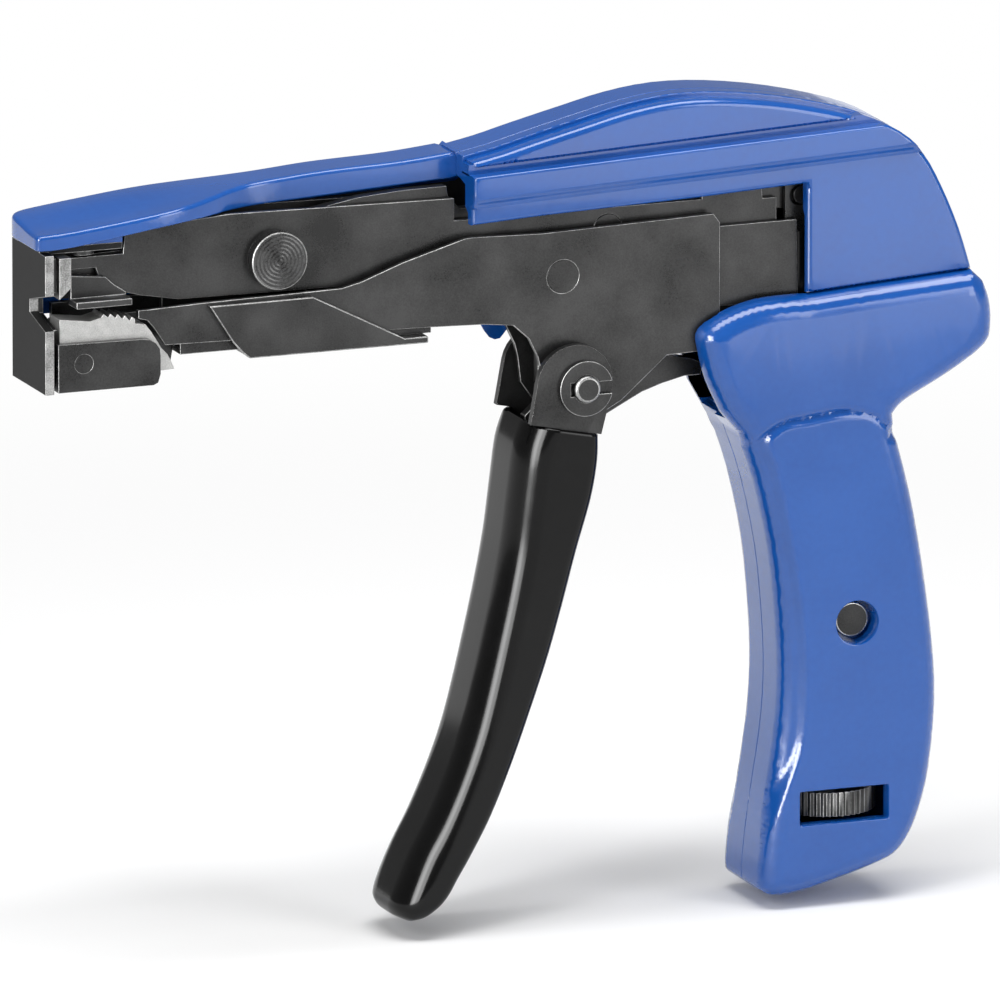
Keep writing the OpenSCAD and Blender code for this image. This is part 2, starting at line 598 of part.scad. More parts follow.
module pawl_pin() color(black_steel) rod(pawl_at, pawl_pin_r, -nose_half, -leg_near + carrier_t);

// Wire coil along z, closed by flat rings of facets
function ring(at, dir, r, n) =
  let (u = [dir[1], -dir[0], 0] / max(norm([dir[0], dir[1]]), 0.001), w = cross(dir, u))
  [for (k = [0:n - 1]) at + r * (cos(360 * k / n) * u + sin(360 * k / n) * w)];
module tube(path, r, n) {
  m = len(path);
  steps = [for (i = [0:m - 1]) let (d = path[min(i + 1, m - 1)] - path[max(i - 1, 0)]) d / norm(d)];
  points = [for (i = [0:m - 1]) each ring(path[i], steps[i], r, n)];
  sides = [for (i = [0:m - 2]) for (k = [0:n - 1]) let (a = i * n + k, b = i * n + (k + 1) % n)
    each [[a, a + n, b], [b, a + n, b + n]]];
  ends = [[for (k = [0:n - 1]) k], [for (k = [n - 1:-1:0]) (m - 1) * n + k]];
  polyhedron(points, concat(sides, ends));
}
coil_steps = 10;
function coil(r, h, turns) = [for (i = [0:turns * coil_steps])
  [r * cos(360 * i / coil_steps), r * sin(360 * i / coil_steps), h * i / (turns * coil_steps)]];

pawl_spring_r = 1.7;
pawl_spring_wire = 0.5;
pawl_spring_x = 0.112 * frame_l;
module pawl_spring() color(bright_steel) {
  low = -carrier_low + carrier_t;
  high = -0.32 * frame_h;
  translate([pawl_spring_x, -pawl_near + pawl_w / 2, low + pawl_spring_wire / 2])
    tube(coil(pawl_spring_r - pawl_spring_wire / 2, high - low - pawl_spring_wire, 4), pawl_spring_wire / 2, 6);
}

// Trigger: folded channel with two ears, the arm inside, the dipped sleeve
ear_r = 6.4;
ear_at = spot([0.715, -0.72]);
// Front and rear of the handle at stations down its length, and its width there
handle_shares = [
  [0.676, -0.09, 0.748, -0.075, 1], [0.656, -0.012, 0.748, 0.017, 1], [0.639, 0.043, 0.747, 0.071, 1],
  [0.636, 0.129, 0.738, 0.14, 1], [0.627, 0.23, 0.716, 0.24, 1], [0.614, 0.331, 0.698, 0.345, 1],
  [0.602, 0.42, 0.68, 0.448, 1], [0.592, 0.505, 0.656, 0.556, 1], [0.575, 0.598, 0.629, 0.666, 1],
  [0.556, 0.68, 0.599, 0.77, 1], [0.528, 0.766, 0.573, 0.845, 1], [0.504, 0.83, 0.556, 0.884, 1],
  [0.486, 0.895, 0.546, 0.908, 1], [0.476, 0.935, 0.536, 0.93, 0.97], [0.4785, 0.952, 0.527, 0.946, 0.9],
  [0.484, 0.9625, 0.517, 0.9585, 0.78], [0.492, 0.968, 0.506, 0.966, 0.62]];
end_stations = 4; // left out of the hollow
function handle_at(h) = let (p = below([[h[0], h[1]], [h[2], h[3]]], trigger_len)) [p[0][0], p[0][1], p[1][0], p[1][1], h[4]];
function stations() = [for (h = handle_shares) handle_at(h)];
function corner(s, y, r, from, to) = [for (i = [0:corner_steps]) let (a = from + (to - from) * i / corner_steps)
  [s + r * cos(a), y + r * sin(a)]];
corner_steps = 4;
// Section of the handle, its corners rounded, drawn in by a distance
function section(long, half, r1, r2, d) = concat(
  corner(d + r1, half - d - r1, r1, 180, 90), corner(long - d - r2, half - d - r2, r2, 90, 0),
  corner(long - d - r2, r2 + d - half, r2, 0, -90), corner(d + r1, r1 + d - half, r1, -90, -180));
function handle_ring(h, d) =
  let (a = [h[0], h[1]], b = [h[2], h[3]], long = norm(b - a), u = (b - a) / long, half = (channel_half + dip_t) * h[4],
    r1 = max(min(front_round, 0.48 * long) - d, play), r2 = max(min(rear_round, 0.48 * long) - d, play))
  [for (q = section(long, half, r1, r2, d)) [a[0] + q[0] * u[0], q[1], a[1] + q[0] * u[1]]];
module handle_loft(d, skip) {
  all = stations();
  rings = [for (i = [0:len(all) - 1 - skip]) handle_ring(all[i], d)];
  n = len(rings[0]);
  m = len(rings);
  sides = [for (i = [0:m - 2]) for (k = [0:n - 1]) let (a = i * n + k, b = i * n + (k + 1) % n)
    each [[a, a + n, b], [b, a + n, b + n]]];
  ends = [[for (k = [0:n - 1]) k], [for (k = [n - 1:-1:0]) (m - 1) * n + k]];
  polyhedron([for (r = rings) each r], concat(sides, ends));
}
neck_shares = [[0.5, -0.062], [0.9, 0.066]];
module over_neck() polygon(concat(below(neck_shares, trigger_len), deck([[0.9, 0], [0.5, 0]])));
module ear_outline() hull() {
  translate(ear_at) circle(ear_r, $fn = 32);
  polygon(below([[0.654, -0.01], [0.75, 0.02], [0.72, 0.01]], trigger_len));
}
module ears() plate(-channel_half, 2 * channel_half) intersection() {
  ear_outline();
  over_neck();
}
module below_neck() plate(-channel_half - dip_t - cut, 2 * (channel_half + dip_t + cut))
  polygon(concat(below(neck_shares, trigger_len), below([[0.9, 1.2], [0.3, 1.2], [0.3, -0.062]], trigger_len)));
module trigger_channel() color(black_steel) difference() {
  union() {
    ears();
    intersection() {
      handle_loft(dip_t, end_stations);
      below_neck();
    }
  }
  for (back = [0, 3 * channel_t]) translate([back, 0, 0]) handle_loft(dip_t + channel_t, end_stations + 1);
  plate(channel_t - channel_half, 2 * (channel_half - channel_t))
    polygon(concat(deck([[0.55, -0.92], [0.6, -0.3], [0.85, -0.3], [0.85, -1.1]]), below([[0.668, 0.02]], trigger_len)));
  rod(load_at, load_r, -channel_half - cut, channel_half + cut);
}
module trigger_sleeve() color(dip_black) difference() {
  handle_loft(0, 0);
  handle_loft(dip_t, end_stations);
  plate(-channel_half - dip_t - cut, 2 * (channel_half + dip_t + cut)) over_neck();
}
arm_shares = [
  [0.805, 0.06], [0.8, -0.5], [0.83, -0.62], [0.9, -0.7], [0.916, -0.74], [0.912, -0.812],
  [0.89, -0.812], [0.859, -0.848], [0.832, -0.892], [0.813, -0.94], [0.78, -1.024], [0.757, -1.03],
  [0.74, -1.04], [0.732, -1.1], [0.672, -1.1], [0.672, -0.98], [0.69, -0.9], [0.69, -0.5],
  [0.694, -0.36], [0.697, -0.2], [0.72, -0.12], [0.735, 0.06]];
arm_lean = -20; // angle at which the arm's round end meets its sides
module trigger_arm() color(black_steel) difference() {
  plate(play, arm_t) polygon(concat(arc(fulcrum_at, fulcrum_r + arm_t, 180 - arm_lean, arm_lean, 24), deck(arm_shares)));
  rod(fulcrum_at, fulcrum_r + pin_play, 0, frame_in);
  rod(load_at, load_r, 0, frame_in);
}
pin_over = 0.8;
module load_pin() color(bright_steel) rod(load_at, load_r, -channel_half - clip_t - pin_over, channel_half + clip_t + pin_over);
module retaining_clips() color(black_steel) for (y = [-channel_half - clip_t, channel_half]) plate(y, clip_t) difference() {
  translate(load_at) circle(clip_r);
  translate(load_at) circle(load_r);
  translate(load_at - [0, 0.45 * load_r]) square([2 * clip_r, 0.9 * load_r]);
  translate(load_at - [1.2 * load_r, 0.5 * load_r]) square([1.2 * load_r, load_r]);
}

// Return spring from the post to the trigger arm
return_r = 1.7;
return_wire = 0.5;
hook_at = spot([0.694, -0.235]);
module return_spring() color(bright_steel) {
  line = hook_at - post_at;
  span = norm(line);
  translate([post_at[0], 0, post_at[1]]) rotate([0, 90 - atan2(line[1], line[0]), 0])
    translate([0, 0, post_r + return_wire])
      tube(coil(return_r - return_wire / 2, span - post_r - 3 * return_wire, 11), return_wire / 2, 6);
}

// Tension rod, spring and adjuster in the grip
rod_x = tail_at[0];
rod_y = -play - lever_t / 2;
rod_low = -1.68 * frame_h;
nut_top = wheel_at[1] + 0.2 * grip_len;
nut_h = 6;
nut_ahead = 3; // from the rod's axis to the nut's front face
nut_behind = 1.8; // metal behind the screw
nut_half = 4;
peg_r = 1.5; // peg that holds the spring
eye_top = nut_top + 0.1 * grip_len;
module tension_rod() color(bright_steel) {
  for (y = [rod_y - lever_t / 2 - play - cheek_t, rod_y + lever_t / 2 + play]) plate(y, cheek_t) difference() {
    translate([rod_x - 2 * tail_r, 0.1 * frame_h]) square([4 * tail_r, tail_at[1] + 2 * tail_r - 0.1 * frame_h]);
    hull() for (d = [-fork_slot, 0]) translate(tail_at + [d, 0]) circle(tail_r + slide_play, $fn = 32);
  }
  block([rod_x - 2 * tail_r, rod_y - lever_t / 2 - play - cheek_t, 0.1 * frame_h],
    [rod_x + 2 * tail_r, rod_y + lever_t / 2 + play + cheek_t, 0.1 * frame_h + cheek_t]);
  translate([rod_x, rod_y, rod_low]) cylinder(r = rod_r, h = 0.1 * frame_h - rod_low);
}
module tension_spring() color(bright_steel) {
  h = rod_low - eye_top;
  translate([rod_x, rod_y, eye_top + spring_wire / 2])
    tube(coil(spring_r - spring_wire / 2, h - spring_wire, 10), spring_wire / 2, 6);
}
nut_from = rod_x - nut_ahead;
nut_to = wheel_at[0] + screw_r + nut_behind;
module adjuster_nut() color(black_steel) {
  difference() {
    block([nut_from, rod_y - nut_half, nut_top - nut_h], [nut_to, rod_y + nut_half, nut_top]);
    translate([wheel_at[0], rod_y, nut_top - nut_h - cut]) cylinder(r = screw_r + pin_play, h = nut_h + 2 * cut);
  }
  translate([rod_x, rod_y, nut_top]) cylinder(r = peg_r, h = eye_top - nut_top);
}
module adjuster_screw() color(bright_steel)
  translate([wheel_at[0], rod_y, wheel_at[1] + wheel_h / 2]) cylinder(r = screw_r, h = nut_top - wheel_at[1] - wheel_h / 2);
module adjuster_wheel() color(black_steel) translate([wheel_at[0], rod_y, wheel_at[1] - wheel_h / 2])
  linear_extrude(wheel_h) polygon([for (i = [0:ridges - 1]) for (e = [0, 1])
    (wheel_r - ridge_h * e) * [cos(360 * (i + 0.5 * e) / ridges), sin(360 * (i + 0.5 * e) / ridges)]]);
module grip_screw() color(bright_steel) {
  rod(grip_screw_at, recess_r - head_play, -grip_depth + recess_d - head_h, -grip_depth + recess_d);
  rod(grip_screw_at, thread_r, -grip_depth + recess_d, grip_depth - wall - head_h);
}

right_casing();
left_casing();
front_plate();
shear_guide();
strap_anvil();
frame_left();
frame_right();
frame_spacers();
lever_rivet();
fulcrum_pin();
spring_post();
body_screws();
grip_screw();
nose_screws();
return_spring();
tension_spring();
bar_left();
bar_right();
bar_core();
bar_tail();
guide_pins();
guide_bracket();
pawl_carrier();
pawl_pin();
pawl();
pawl_spring();
trigger_channel();
trigger_sleeve();
trigger_arm();
load_pin();
retaining_clips();
cutter_lever();
rod_pin();
cutter_blade();
tension_rod();
adjuster_wheel();
adjuster_screw();
adjuster_nut();
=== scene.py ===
import bpy, bmesh, json, math
import numpy as np
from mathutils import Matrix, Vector, geometry


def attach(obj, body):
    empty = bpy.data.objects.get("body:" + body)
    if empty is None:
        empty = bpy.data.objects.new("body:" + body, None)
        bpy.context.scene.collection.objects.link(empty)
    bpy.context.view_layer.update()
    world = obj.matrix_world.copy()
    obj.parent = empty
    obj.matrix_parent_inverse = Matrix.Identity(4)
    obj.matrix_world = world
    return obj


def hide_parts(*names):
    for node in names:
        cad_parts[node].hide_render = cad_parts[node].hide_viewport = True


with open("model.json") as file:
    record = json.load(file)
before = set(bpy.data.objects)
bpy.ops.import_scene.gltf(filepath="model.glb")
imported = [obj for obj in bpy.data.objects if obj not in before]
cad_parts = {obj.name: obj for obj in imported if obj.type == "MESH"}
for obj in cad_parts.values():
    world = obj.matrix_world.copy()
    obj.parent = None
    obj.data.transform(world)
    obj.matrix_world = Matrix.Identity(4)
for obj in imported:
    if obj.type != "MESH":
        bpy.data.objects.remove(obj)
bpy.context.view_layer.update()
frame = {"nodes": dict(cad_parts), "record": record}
mm = 0.001
bodyOf = {node: body for body, nodes in frame["record"]["behaviour"]["bodies"].items() for node in nodes}
rivetAt = (40.375, 5.5)  # middle of the large rivet, in millimetres of the side view (x, z)


# helpers for outlines, in millimetres of the side view

def smoothLine(points, steps):
    # a curve through the points, with this many parts between each two
    p = [Vector(q) for q in points]
    last = len(p) - 1
    out = []
    for i in range(last):
        a, b, c, d = (p[min(max(i + k, 0), last)] for k in (-1, 0, 1, 2))
        for k in range(steps):
            t = k / steps
            bend = (2 * a - 5 * b + 4 * c - d) * t * t
            out.append((2 * b + (c - a) * t + bend + (3 * b - a - 3 * c + d) * t ** 3) / 2)
    out.append(p[-1])
    return [tuple(v) for v in out]


def inset(points, distance, closed=True):
    # moves a line sideways: positive is to the left of its direction
    sharpest = 0.35  # limits how far a sharp corner runs out
    n, out = len(points), []
    for i, q in enumerate(points):
        a = Vector(points[i - 1] if i or closed else q)
        b = Vector(points[(i + 1) % n] if i < n - 1 or closed else q)
        q = Vector(q)
        u = (q - a).normalized() if (q - a).length > 1e-6 else (b - q).normalized()
        v = (b - q).normalized() if (b - q).length > 1e-6 else u
        side = Vector((-u.y, u.x)) + Vector((-v.y, v.x))
        out.append(tuple(q + side * distance / max(1 + u.dot(v), sharpest)))
    return out


def edgeDistance(at, line, closed):
    # distance of each point from a polyline
    a = np.array(line)
    b = np.roll(a, -1, axis=0)
    if not closed:
        a, b = a[:-1], b[:-1]
    best = np.full(len(at), 1e9)
    for p, q in zip(a, b):
        d = q - p
        t = np.clip(((at - p) @ d) / max(d @ d, 1e-12), 0, 1)
        best = np.minimum(best, np.hypot(*(at - p - t[:, None] * d).T))
    return best


def inside(at, line):
    # which points lie inside a closed line
    a = np.array(line)
    b = np.roll(a, -1, axis=0)
    hit = np.zeros(len(at), bool)
    x, z = at.T
    for (x0, z0), (x1, z1) in zip(a, b):
        if z0 != z1:
            hit ^= ((z0 > z) != (z1 > z)) & (x < (x1 - x0) * (z - z0) / (z1 - z0) + x0)
    return hit


def ramp(d, start, end):
    # 0 before start, 1 after end, smooth between
    t = np.clip((d - start) / (end - start), 0, 1)
    return t * t * (3 - 2 * t)


def quarterRound(d, r):
    # how far a rounded edge of radius r stands in from the flat, at distance d from the edge
    t = np.clip(d / r, 0, 1)
    return r * (1 - np.sqrt(np.clip(1 - (1 - t) ** 2, 0, 1)))


def newPiece(name, points, faces, body, materials, node):
    mesh = bpy.data.meshes.new(name)
    mesh.from_pydata([tuple(c * mm for c in p) for p in points], [], faces)
    mesh.validate()
    piece = bpy.data.objects.new(name, mesh)
    bpy.context.collection.objects.link(piece)
    for m in materials:
        mesh.materials.append(m)
    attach(piece, body)
    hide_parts(node)
    return piece


def shade(piece, angle):
    mesh = piece.data
    mesh.polygons.foreach_set("use_smooth", [True] * len(mesh.polygons))
    mesh.set_sharp_from_angle(angle=math.radians(angle))
    weigh = piece.modifiers.new("weighted normals", "WEIGHTED_NORMAL")
    weigh.keep_sharp = True


# materials

mottleLook = {
    "inputs": {"Dark": (0.02, 0.02, 0.02, 1), "Light": (0.06, 0.06, 0.06, 1), "Blotch Scale": 220.0,
               "Grain Scale": 2600.0, "Grain Share": 0.35, "Rough Low": 0.3, "Rough High": 0.5},
    "blotch detail": 6, "grain detail": 3, "contrast": (0.36, 0.64), "bump": 0.00002}


def nodeTree(material):
    material.use_nodes = True
    tree = material.node_tree
    return tree, tree.nodes["Principled BSDF"]


def mottleGroup():
    # two sizes of blotches with fine grain: a colour between two tones, a roughness and a height
    group = bpy.data.node_groups.new("burnished mottle", "ShaderNodeTree")
    for name, value in mottleLook["inputs"].items():
        kind = "NodeSocketFloat" if isinstance(value, float) else "NodeSocketColor"
        socket = group.interface.new_socket(name, in_out="INPUT", socket_type=kind)
        socket.default_value = value
    for name, kind in (("Color", "Color"), ("Roughness", "Float"), ("Height", "Float")):
        group.interface.new_socket(name, in_out="OUTPUT", socket_type="NodeSocket" + kind)
    link, node = group.links.new, group.nodes.new
    given, out = node("NodeGroupInput"), node("NodeGroupOutput")
    where = node("ShaderNodeTexCoord")
    blotch, grain = node("ShaderNodeTexNoise"), node("ShaderNodeTexNoise")
    blotch.inputs["Detail"].default_value = mottleLook["blotch detail"]
    grain.inputs["Detail"].default_value = mottleLook["grain detail"]
    for noise, scale in ((blotch, "Blotch Scale"), (grain, "Grain Scale")):
        link(where.outputs["Object"], noise.inputs["Vector"])
        link(given.outputs[scale], noise.inputs["Scale"])
    blend = node("ShaderNodeMix")
    link(given.outputs["Grain Share"], blend.inputs["Factor"])
    link(blotch.outputs["Fac"], blend.inputs["A"])
    link(grain.outputs["Fac"], blend.inputs["B"])
    spread = node("ShaderNodeMapRange")
    spread.inputs["From Min"].default_value, spread.inputs["From Max"].default_value = mottleLook["contrast"]
    link(blend.outputs["Result"], spread.inputs["Value"])
    tone = node("ShaderNodeMix")
    tone.data_type = "RGBA"
    link(spread.outputs["Result"], tone.inputs["Factor"])
    link(given.outputs["Dark"], tone.inputs[6])  # its first colour
    link(given.outputs["Light"], tone.inputs[7])  # its second colour
    rough = node("ShaderNodeMapRange")
    link(spread.outputs["Result"], rough.inputs["Value"])
    link(given.outputs["Rough Low"], rough.inputs["To Min"])
    link(given.outputs["Rough High"], rough.inputs["To Max"])
    link(tone.outputs[2], out.inputs["Color"])  # the blended colour
    link(rough.outputs["Result"], out.inputs["Roughness"])
    link(grain.outputs["Fac"], out.inputs["Height"])
    return group


mottle = mottleGroup()


def mottled(name, look):
    m = bpy.data.materials.new(name)
    tree, shader = nodeTree(m)
    group = tree.nodes.new("ShaderNodeGroup")
    group.node_tree = mottle
    for k in ("Dark", "Light"):
        group.inputs[k].default_value = (*look[k], 1)
    for k in ("Blotch Scale", "Grain Scale", "Grain Share", "Rough Low", "Rough High"):
        group.inputs[k].default_value = look[k]
    bump = tree.nodes.new("ShaderNodeBump")
    bump.inputs["Strength"].default_value = look["Bump"]
    bump.inputs["Distance"].default_value = mottleLook["bump"]
    tree.links.new(group.outputs["Height"], bump.inputs["Height"])
    tree.links.new(bump.outputs["Normal"], shader.inputs["Normal"])
    tree.links.new(group.outputs["Color"], shader.inputs["Base Color"])
    tree.links.new(group.outputs["Roughness"], shader.inputs["Roughness"])
    shader.inputs["Metallic"].default_value = look["Metallic"]
    shader.inputs["Specular IOR Level"].default_value = look.get("Specular", 0.5)
    shader.inputs["Coat Weight"].default_value = look.get("Coat", 0.0)
    shader.inputs["Coat Roughness"].default_value = look.get("Coat Rough", 0.1)
    m.diffuse_color = (*look["Light"], 1)
    return m


blueEnamel = mottled("blueEnamel", {
    "Dark": (0.0042, 0.066, 0.300), "Light": (0.0052, 0.078, 0.345),
    "Blotch Scale": 60.0, "Grain Scale": 900.0, "Grain Share": 0.35, "Rough Low": 0.13, "Rough High": 0.19,
    "Bump": 0.05, "Metallic": 0.0, "Specular": 0.5, "Coat": 0.35, "Coat Rough": 0.06})
blackOxide = mottled("blackOxide", {
    "Dark": (0.024, 0.024, 0.024), "Light": (0.055, 0.055, 0.055),
    "Blotch Scale": 110.0, "Grain Scale": 4200.0, "Grain Share": 0.3, "Rough Low": 0.26, "Rough High": 0.38,
    "Bump": 0.4, "Metallic": 0.75, "Specular": 0.5})
# worn bare steel; on the eased edges of the plates it is also a painted highlight along them
bareSteelAndHighlight = mottled("bareSteelAndHighlight", {
    "Dark": (0.16, 0.16, 0.158), "Light": (0.42, 0.42, 0.415),
    "Blotch Scale": 500.0, "Grain Scale": 4000.0, "Grain Share": 0.5, "Rough Low": 0.3, "Rough High": 0.45,
    "Bump": 0.2, "Metallic": 0.9})
sinteredSteel = mottled("sinteredSteel", {
    "Dark": (0.33, 0.33, 0.325), "Light": (0.50, 0.50, 0.49),
    "Blotch Scale": 600.0, "Grain Scale": 5000.0, "Grain Share": 0.6, "Rough Low": 0.38, "Rough High": 0.5,
    "Bump": 0.35, "Metallic": 0.8})
# bright steel; as the grip screw's edge it is a painted glint round the head
brightSteelAndGlint = mottled("brightSteelAndGlint", {
    "Dark": (0.42, 0.42, 0.41), "Light": (0.60, 0.60, 0.59),
    "Blotch Scale": 300.0, "Grain Scale": 3000.0, "Grain Share": 0.4, "Rough Low": 0.22, "Rough High": 0.34,
    "Bump": 0.1, "Metallic": 1.0})
dullOxide = mottled("dullOxide", {
    "Dark": (0.006, 0.006, 0.006), "Light": (0.022, 0.022, 0.022),
    "Blotch Scale": 140.0, "Grain Scale": 4200.0, "Grain Share": 0.5, "Rough Low": 0.50, "Rough High": 0.64,
    "Bump": 0.8, "Metallic": 0.25, "Specular": 0.16})
blackDip = mottled("blackDip", {
    "Dark": (0.0018, 0.0018, 0.0019), "Light": (0.003, 0.003, 0.0031),
    "Blotch Scale": 40.0, "Grain Scale": 500.0, "Grain Share": 0.3, "Rough Low": 0.12, "Rough High": 0.17,
    "Bump": 0.05, "Metallic": 0.0, "Specular": 0.24})
# painted shade: a near-black material for the inner faces, standing in for the shade inside the casing's
# hollow
paintedShadeInside = mottled("paintedShadeInside", {
    "Dark": (0.010, 0.010, 0.011), "Light": (0.024, 0.024, 0.026),
    "Blotch Scale": 300.0, "Grain Scale": 2500.0, "Grain Share": 0.5, "Rough Low": 0.55, "Rough High": 0.7,
    "Bump": 0.5, "Metallic": 0.2})

turnedLook = {
    "Dark": (0.030, 0.030, 0.030), "Light": (0.085, 0.085, 0.085),
    "Blotch Scale": 300.0, "Grain Scale": 4000.0, "Grain Share": 0.5, "Rough Low": 0.24, "Rough High": 0.34,
    "Bump": 0.3, "Metallic": 0.8, "Ring Pitch": 0.62, "Ring Strength": 0.8, "Ring Height": 0.00004}


def turnedSteel():
    # black steel with the rings of a lathe tool round the rivet's middle
    m = mottled("turnedSteel", turnedLook)
    tree, shader = nodeTree(m)
    node, link = tree.nodes.new, tree.links.new
    where, bump = node("ShaderNodeTexCoord"), node("ShaderNodeBump")
    flatten, away = node("ShaderNodeVectorMath"), node("ShaderNodeVectorMath")
    waves, height = node("ShaderNodeMath"), node("ShaderNodeMath")
    flatten.operation, away.operation = "MULTIPLY", "DISTANCE"
    waves.operation, height.operation = "MULTIPLY", "SINE"
    flatten.inputs[1].default_value = (1, 0, 1)
    away.inputs[1].default_value = (rivetAt[0] * mm, 0, rivetAt[1] * mm)
    waves.inputs[1].default_value = 2 * math.pi / (turnedLook["Ring Pitch"] * mm)
    link(where.outputs["Object"], flatten.inputs[0])
    link(flatten.outputs["Vector"], away.inputs[0])
    link(away.outputs["Value"], waves.inputs[0])
    link(waves.outputs[0], height.inputs[0])
    link(height.outputs[0], bump.inputs["Height"])
    bump.inputs["Strength"].default_value = turnedLook["Ring Strength"]
    bump.inputs["Distance"].default_value = turnedLook["Ring Height"]
    link(bump.outputs["Normal"], shader.inputs["Normal"])
    return m


turnedRivet = turnedSteel()
print("materials ready")


# steel pieces, each a copy of its node: plates and pins with eased edges, and springs as they are

easeLook = {"segments": 2, "corner angle": 30, "spring angle": 80, "flat angle": 0.6}
steelPieces = {  # width of the eased edge in millimetres, material, material of the edge (where lighter than the body, it is worn steel and a painted highlight)
    "front_plate": (0.18, dullOxide, bareSteelAndHighlight), "shear_guide": (0.12, blackOxide, bareSteelAndHighlight),
    "strap_anvil": (0.15, blackOxide, bareSteelAndHighlight), "frame_left": (0.12, blackOxide, bareSteelAndHighlight),
    "frame_right": (0.12, blackOxide, bareSteelAndHighlight), "frame_spacers": (0.15, blackOxide, blackOxide),
    "lever_rivet": (0.22, turnedRivet, bareSteelAndHighlight), "fulcrum_pin": (0.2, blackOxide, blackOxide),
    "spring_post": (0.1, blackOxide, blackOxide), "body_screws": (0.3, brightSteelAndGlint, brightSteelAndGlint),
    # the grip screw's bright edge is a painted glint round its head
    "grip_screw": (0.35, blackOxide, brightSteelAndGlint), "nose_screws": (0.15, blackOxide, bareSteelAndHighlight),
    "bar_left": (0.12, blackOxide, bareSteelAndHighlight), "bar_right": (0.12, blackOxide, bareSteelAndHighlight),
    "bar_core": (0.12, blackOxide, bareSteelAndHighlight), "bar_tail": (0.12, blackOxide, bareSteelAndHighlight),
    "guide_pins": (0.1, blackOxide, blackOxide), "guide_bracket": (0.2, blackOxide, bareSteelAndHighlight),
    "pawl_carrier": (0.18, blackOxide, bareSteelAndHighlight), "pawl_pin": (0.1, blackOxide, blackOxide),
    "pawl": (0.1, sinteredSteel, sinteredSteel), "trigger_channel": (0.2, blackOxide, bareSteelAndHighlight),
    "trigger_arm": (0.15, blackOxide, bareSteelAndHighlight), "load_pin": (0.5, blackOxide, bareSteelAndHighlight),
    "retaining_clips": (0.12, blackOxide, bareSteelAndHighlight), "cutter_lever": (0.12, blackOxide, bareSteelAndHighlight),
    "rod_pin": (0.1, blackOxide, blackOxide), "cutter_blade": (0.1, bareSteelAndHighlight, sinteredSteel),
    "tension_rod": (0.1, blackOxide, blackOxide), "adjuster_wheel": (0.06, blackOxide, bareSteelAndHighlight),
    "adjuster_screw": (0.1, brightSteelAndGlint, brightSteelAndGlint), "adjuster_nut": (0.2, blackOxide, bareSteelAndHighlight)}
wireSprings = ("return_spring", "tension_spring", "pawl_spring")
bareFace = {"depth": 1.6, "facing": -0.9}  # the front plate's near side is bare this far from the nose


def easeNode(node, width, material, edge, angle):
    source = frame["nodes"][node]
    mesh = source.data.copy()
    mesh.name = node + "Piece"
    mesh.materials.clear()
    mesh.materials.append(material)
    mesh.materials.append(edge)
    b = bmesh.new()
    b.from_mesh(mesh)
    bmesh.ops.remove_doubles(b, verts=b.verts, dist=1e-6)
    flat = math.radians(easeLook["flat angle"])
    bmesh.ops.dissolve_limit(b, angle_limit=flat, verts=b.verts, edges=b.edges)
    b.to_mesh(mesh)
    b.free()
    piece = bpy.data.objects.new(node + "Piece", mesh)
    piece.matrix_world = source.matrix_world.copy()
    bpy.context.collection.objects.link(piece)
    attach(piece, bodyOf[node])
    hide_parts(node)
    for p in mesh.polygons:
        p.material_index = 0
        p.use_smooth = True
    mesh.set_sharp_from_angle(angle=math.radians(angle))
    if width:
        bevel = piece.modifiers.new("eased edges", "BEVEL")
        bevel.width = width * mm
        bevel.segments = easeLook["segments"]
        bevel.limit_method = "ANGLE"
        bevel.angle_limit = math.radians(angle)
        # the edge material; where it is lighter than the body it paints a highlight along the eased edge as
        # well as wear
        bevel.material = 1
        bevel.harden_normals = True
    return piece


for node, (width, material, edge) in steelPieces.items():
    piece = easeNode(node, width, material, edge, easeLook["corner angle"])
    if node == "front_plate":
        for p in piece.data.polygons:
            if p.normal.y < bareFace["facing"] and p.center.x < bareFace["depth"] * mm:
                p.material_index = 1
for node in wireSprings:
    easeNode(node, 0, brightSteelAndGlint, brightSteelAndGlint, easeLook["spring angle"])
print("steel pieces ready")


# casings: shells in relief, drawn in millimetres of the side view

def turned(loop):
    # the loop, running so that its inside is on the left
    x, z = np.array(loop).T
    area = np.dot(x, np.roll(z, -1)) - np.dot(z, np.roll(x, -1))
    return list(loop) if area > 0 else list(loop)[::-1]


def spread(loop, step, closed=True):
    # splits long edges so that no edge is much longer than the step
    hair = 0.01  # an edge this little over a whole number of steps gets no further part
    out, n = [], len(loop)
    for i in range(n if closed else n - 1):
        a, b = np.array(loop[i]), np.array(loop[(i + 1) % n])
        parts = max(1, math.ceil(np.hypot(*(b - a)) / step - hair))
        out += [tuple(a + (b - a) * k / parts) for k in range(parts)]
    return out if closed else out + [tuple(loop[-1])]


def clipped(loop, a, b):
    # keeps what lies on the left of the line from a to b
    a, d = np.array(a), np.array(b) - np.array(a)
    side = lambda p: d[0] * (p[1] - a[1]) - d[1] * (p[0] - a[0])
    out = []
    for i, p in enumerate(loop):
        q = loop[(i + 1) % len(loop)]
        sp, sq = side(p), side(q)
        if sp >= 0:
            out.append(tuple(p))
        if (sp > 0 > sq) or (sp < 0 < sq):
            t = sp / (sp - sq)
            out.append(tuple(np.array(p) + (np.array(q) - np.array(p)) * t))
    return out


def ringRows(line, distances, closed=True):
    # points of lines that run beside a line, dropped where they come nearer to it than they should
    share, slack = 0.97, 1e-3  # of the distance that has to be kept
    rows = []
    for d in distances:
        at = np.array(inset(line, d, closed))
        rows.append(at[edgeDistance(at, line, closed) > abs(d) * share - slack])
    return np.vstack(rows)


def roundSteps(r, parts=5):
    # where the rows of points lie on a rounded edge
    return [r * (1 - math.cos(math.radians(90 * k / parts))) for k in range(1, parts + 1)]


